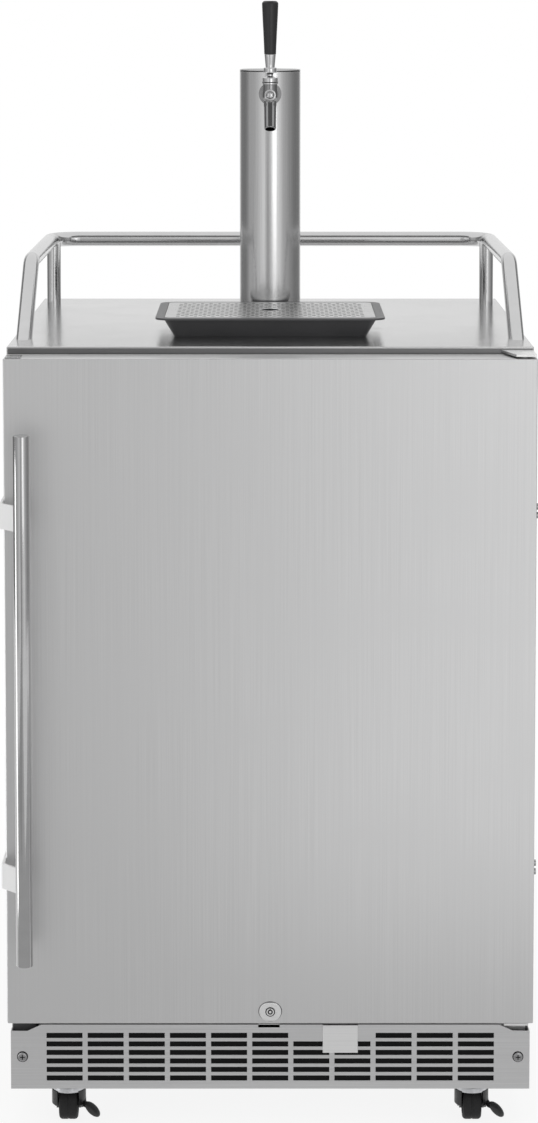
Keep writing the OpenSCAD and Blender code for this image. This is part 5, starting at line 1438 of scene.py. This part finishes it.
class KEGCOOLER_OT_rear(bpy.types.Operator):
    """Softens the rear cover and fittings and adds louvre blades and inlet pins"""
    bl_idname = "keg_cooler.rear"
    bl_label = "Rear"

    # Rows of slots in the rear cover, in millimetres
    SLOT_ROWS = 11
    SLOT_PITCH = 16
    LOWEST_SLOT = 115.2
    SLOT_X = 127.5
    # Middle of the mains inlet in x and z, and how far back its pins reach, in millimetres
    INLET = (206.5, 88)
    PIN_BACK = 344
    PIN_LENGTH = 11

    def execute(self, context):
        for node, width in (
            ("rear_cover", 0.25), ("rear_fittings", 0.6), ("compressor", 1.0), ("condenser_fan_shroud", 0.8),
            ("condenser_fan", 0.3), ("discharge_tube", 0.2),
        ):
            soft_copy(node, width * MM, 2)
        self.louvres()
        self.pins()
        return {"FINISHED"}

    def louvres(self):
        """Blades that lean inwards below each slot of the rear cover."""
        front = span("rear_cover", 1)[0]
        blade = block("blade", mm(-75, -7, 0), mm(75, 0, 0.8))
        hold(blade, "EDIT")
        pick(blade, "VERT", lambda v: v.co.y < -6 * MM)
        bpy.ops.transform.translate(value=(0, 0, 5.5 * MM))
        bpy.ops.object.mode_set(mode="OBJECT")
        soften(blade, 0.2 * MM)
        blades = []
        for side in (-1, 1):
            for k in range(self.SLOT_ROWS):
                copy = duplicate(blade, "louvre")
                up = self.LOWEST_SLOT + self.SLOT_PITCH * k
                copy.location = (side * self.SLOT_X * MM, front, up * MM)
                blades.append(settle(copy, "louvre"))
        bpy.data.objects.remove(blade)
        dress(join("rear_louvres", *blades), "cabinet", SLOT_OF["rear_cover"])

    def pins(self):
        """Three flat pins in the mains inlet."""
        pins = []
        for x, z in ((-7, -2.5), (0, 3.0), (7, -2.5)):
            x, z = self.INLET[0] + x, self.INLET[1] + z
            pin = block("pin", mm(x - 1, self.PIN_BACK - self.PIN_LENGTH, z - 2),
                        mm(x + 1, self.PIN_BACK, z + 2))
            chamfer(pin, at(1, self.PIN_BACK * MM), 0.6 * MM, 2)
            pins.append(smooth(pin))
        dress(join("inlet_pins", *pins), "cabinet", "screws")


class KEGCOOLER_OT_dress_solids(bpy.types.Operator):
    """Gives every solid that stays its finish"""
    bl_idname = "keg_cooler.dress_solids"
    bl_label = "Dress solids"

    def execute(self, context):
        for node, obj in NODES.items():
            material = finish(SLOT_OF[node])
            if not obj.material_slots:
                obj.data.materials.append(material)
            for slot in obj.material_slots:
                slot.material = material
        return {"FINISHED"}


class KEGCOOLER_PT_panel(bpy.types.Panel):
    """Sizes, colours and steps of the keg cooler"""
    bl_idname = "KEGCOOLER_PT_panel"
    bl_label = "Keg Cooler"
    bl_space_type = "VIEW_3D"
    bl_region_type = "UI"
    bl_category = "Keg Cooler"

    def draw(self, context):
        layout = self.layout
        for group in (context.scene.keg_cooler_sizes, context.scene.keg_cooler_colours):
            box = layout.box()
            for name in group.__annotations__:
                box.prop(group, name)
        for step in STEPS:
            layout.operator(step.bl_idname)


STEPS = (
    KEGCOOLER_OT_stage, KEGCOOLER_OT_dress_solids, KEGCOOLER_OT_cabinet, KEGCOOLER_OT_door,
    KEGCOOLER_OT_grille, KEGCOOLER_OT_rails, KEGCOOLER_OT_tower, KEGCOOLER_OT_tap, KEGCOOLER_OT_tray,
    KEGCOOLER_OT_casters, KEGCOOLER_OT_interior, KEGCOOLER_OT_rear,
)
CLASSES = (KegCoolerSizes, KegCoolerColours, *STEPS, KEGCOOLER_PT_panel)


def register():
    """Makes the groups, steps and panel known."""
    for cls in CLASSES:
        bpy.utils.register_class(cls)
    bpy.types.Scene.keg_cooler_sizes = bpy.props.PointerProperty(type=KegCoolerSizes)
    bpy.types.Scene.keg_cooler_colours = bpy.props.PointerProperty(type=KegCoolerColours)


def unregister():
    """Removes them again."""
    del bpy.types.Scene.keg_cooler_sizes
    del bpy.types.Scene.keg_cooler_colours
    for cls in reversed(CLASSES):
        bpy.utils.unregister_class(cls)


def main():
    """Runs every step."""
    register()
    bpy.ops.keg_cooler.stage()
    bpy.ops.keg_cooler.dress_solids()
    bpy.ops.keg_cooler.cabinet()
    bpy.ops.keg_cooler.door()
    bpy.ops.keg_cooler.grille()
    bpy.ops.keg_cooler.rails()
    bpy.ops.keg_cooler.tower()
    bpy.ops.keg_cooler.tap()
    bpy.ops.keg_cooler.tray()
    bpy.ops.keg_cooler.casters()
    bpy.ops.keg_cooler.interior()
    bpy.ops.keg_cooler.rear()


if __name__ == "__main__":
    main()
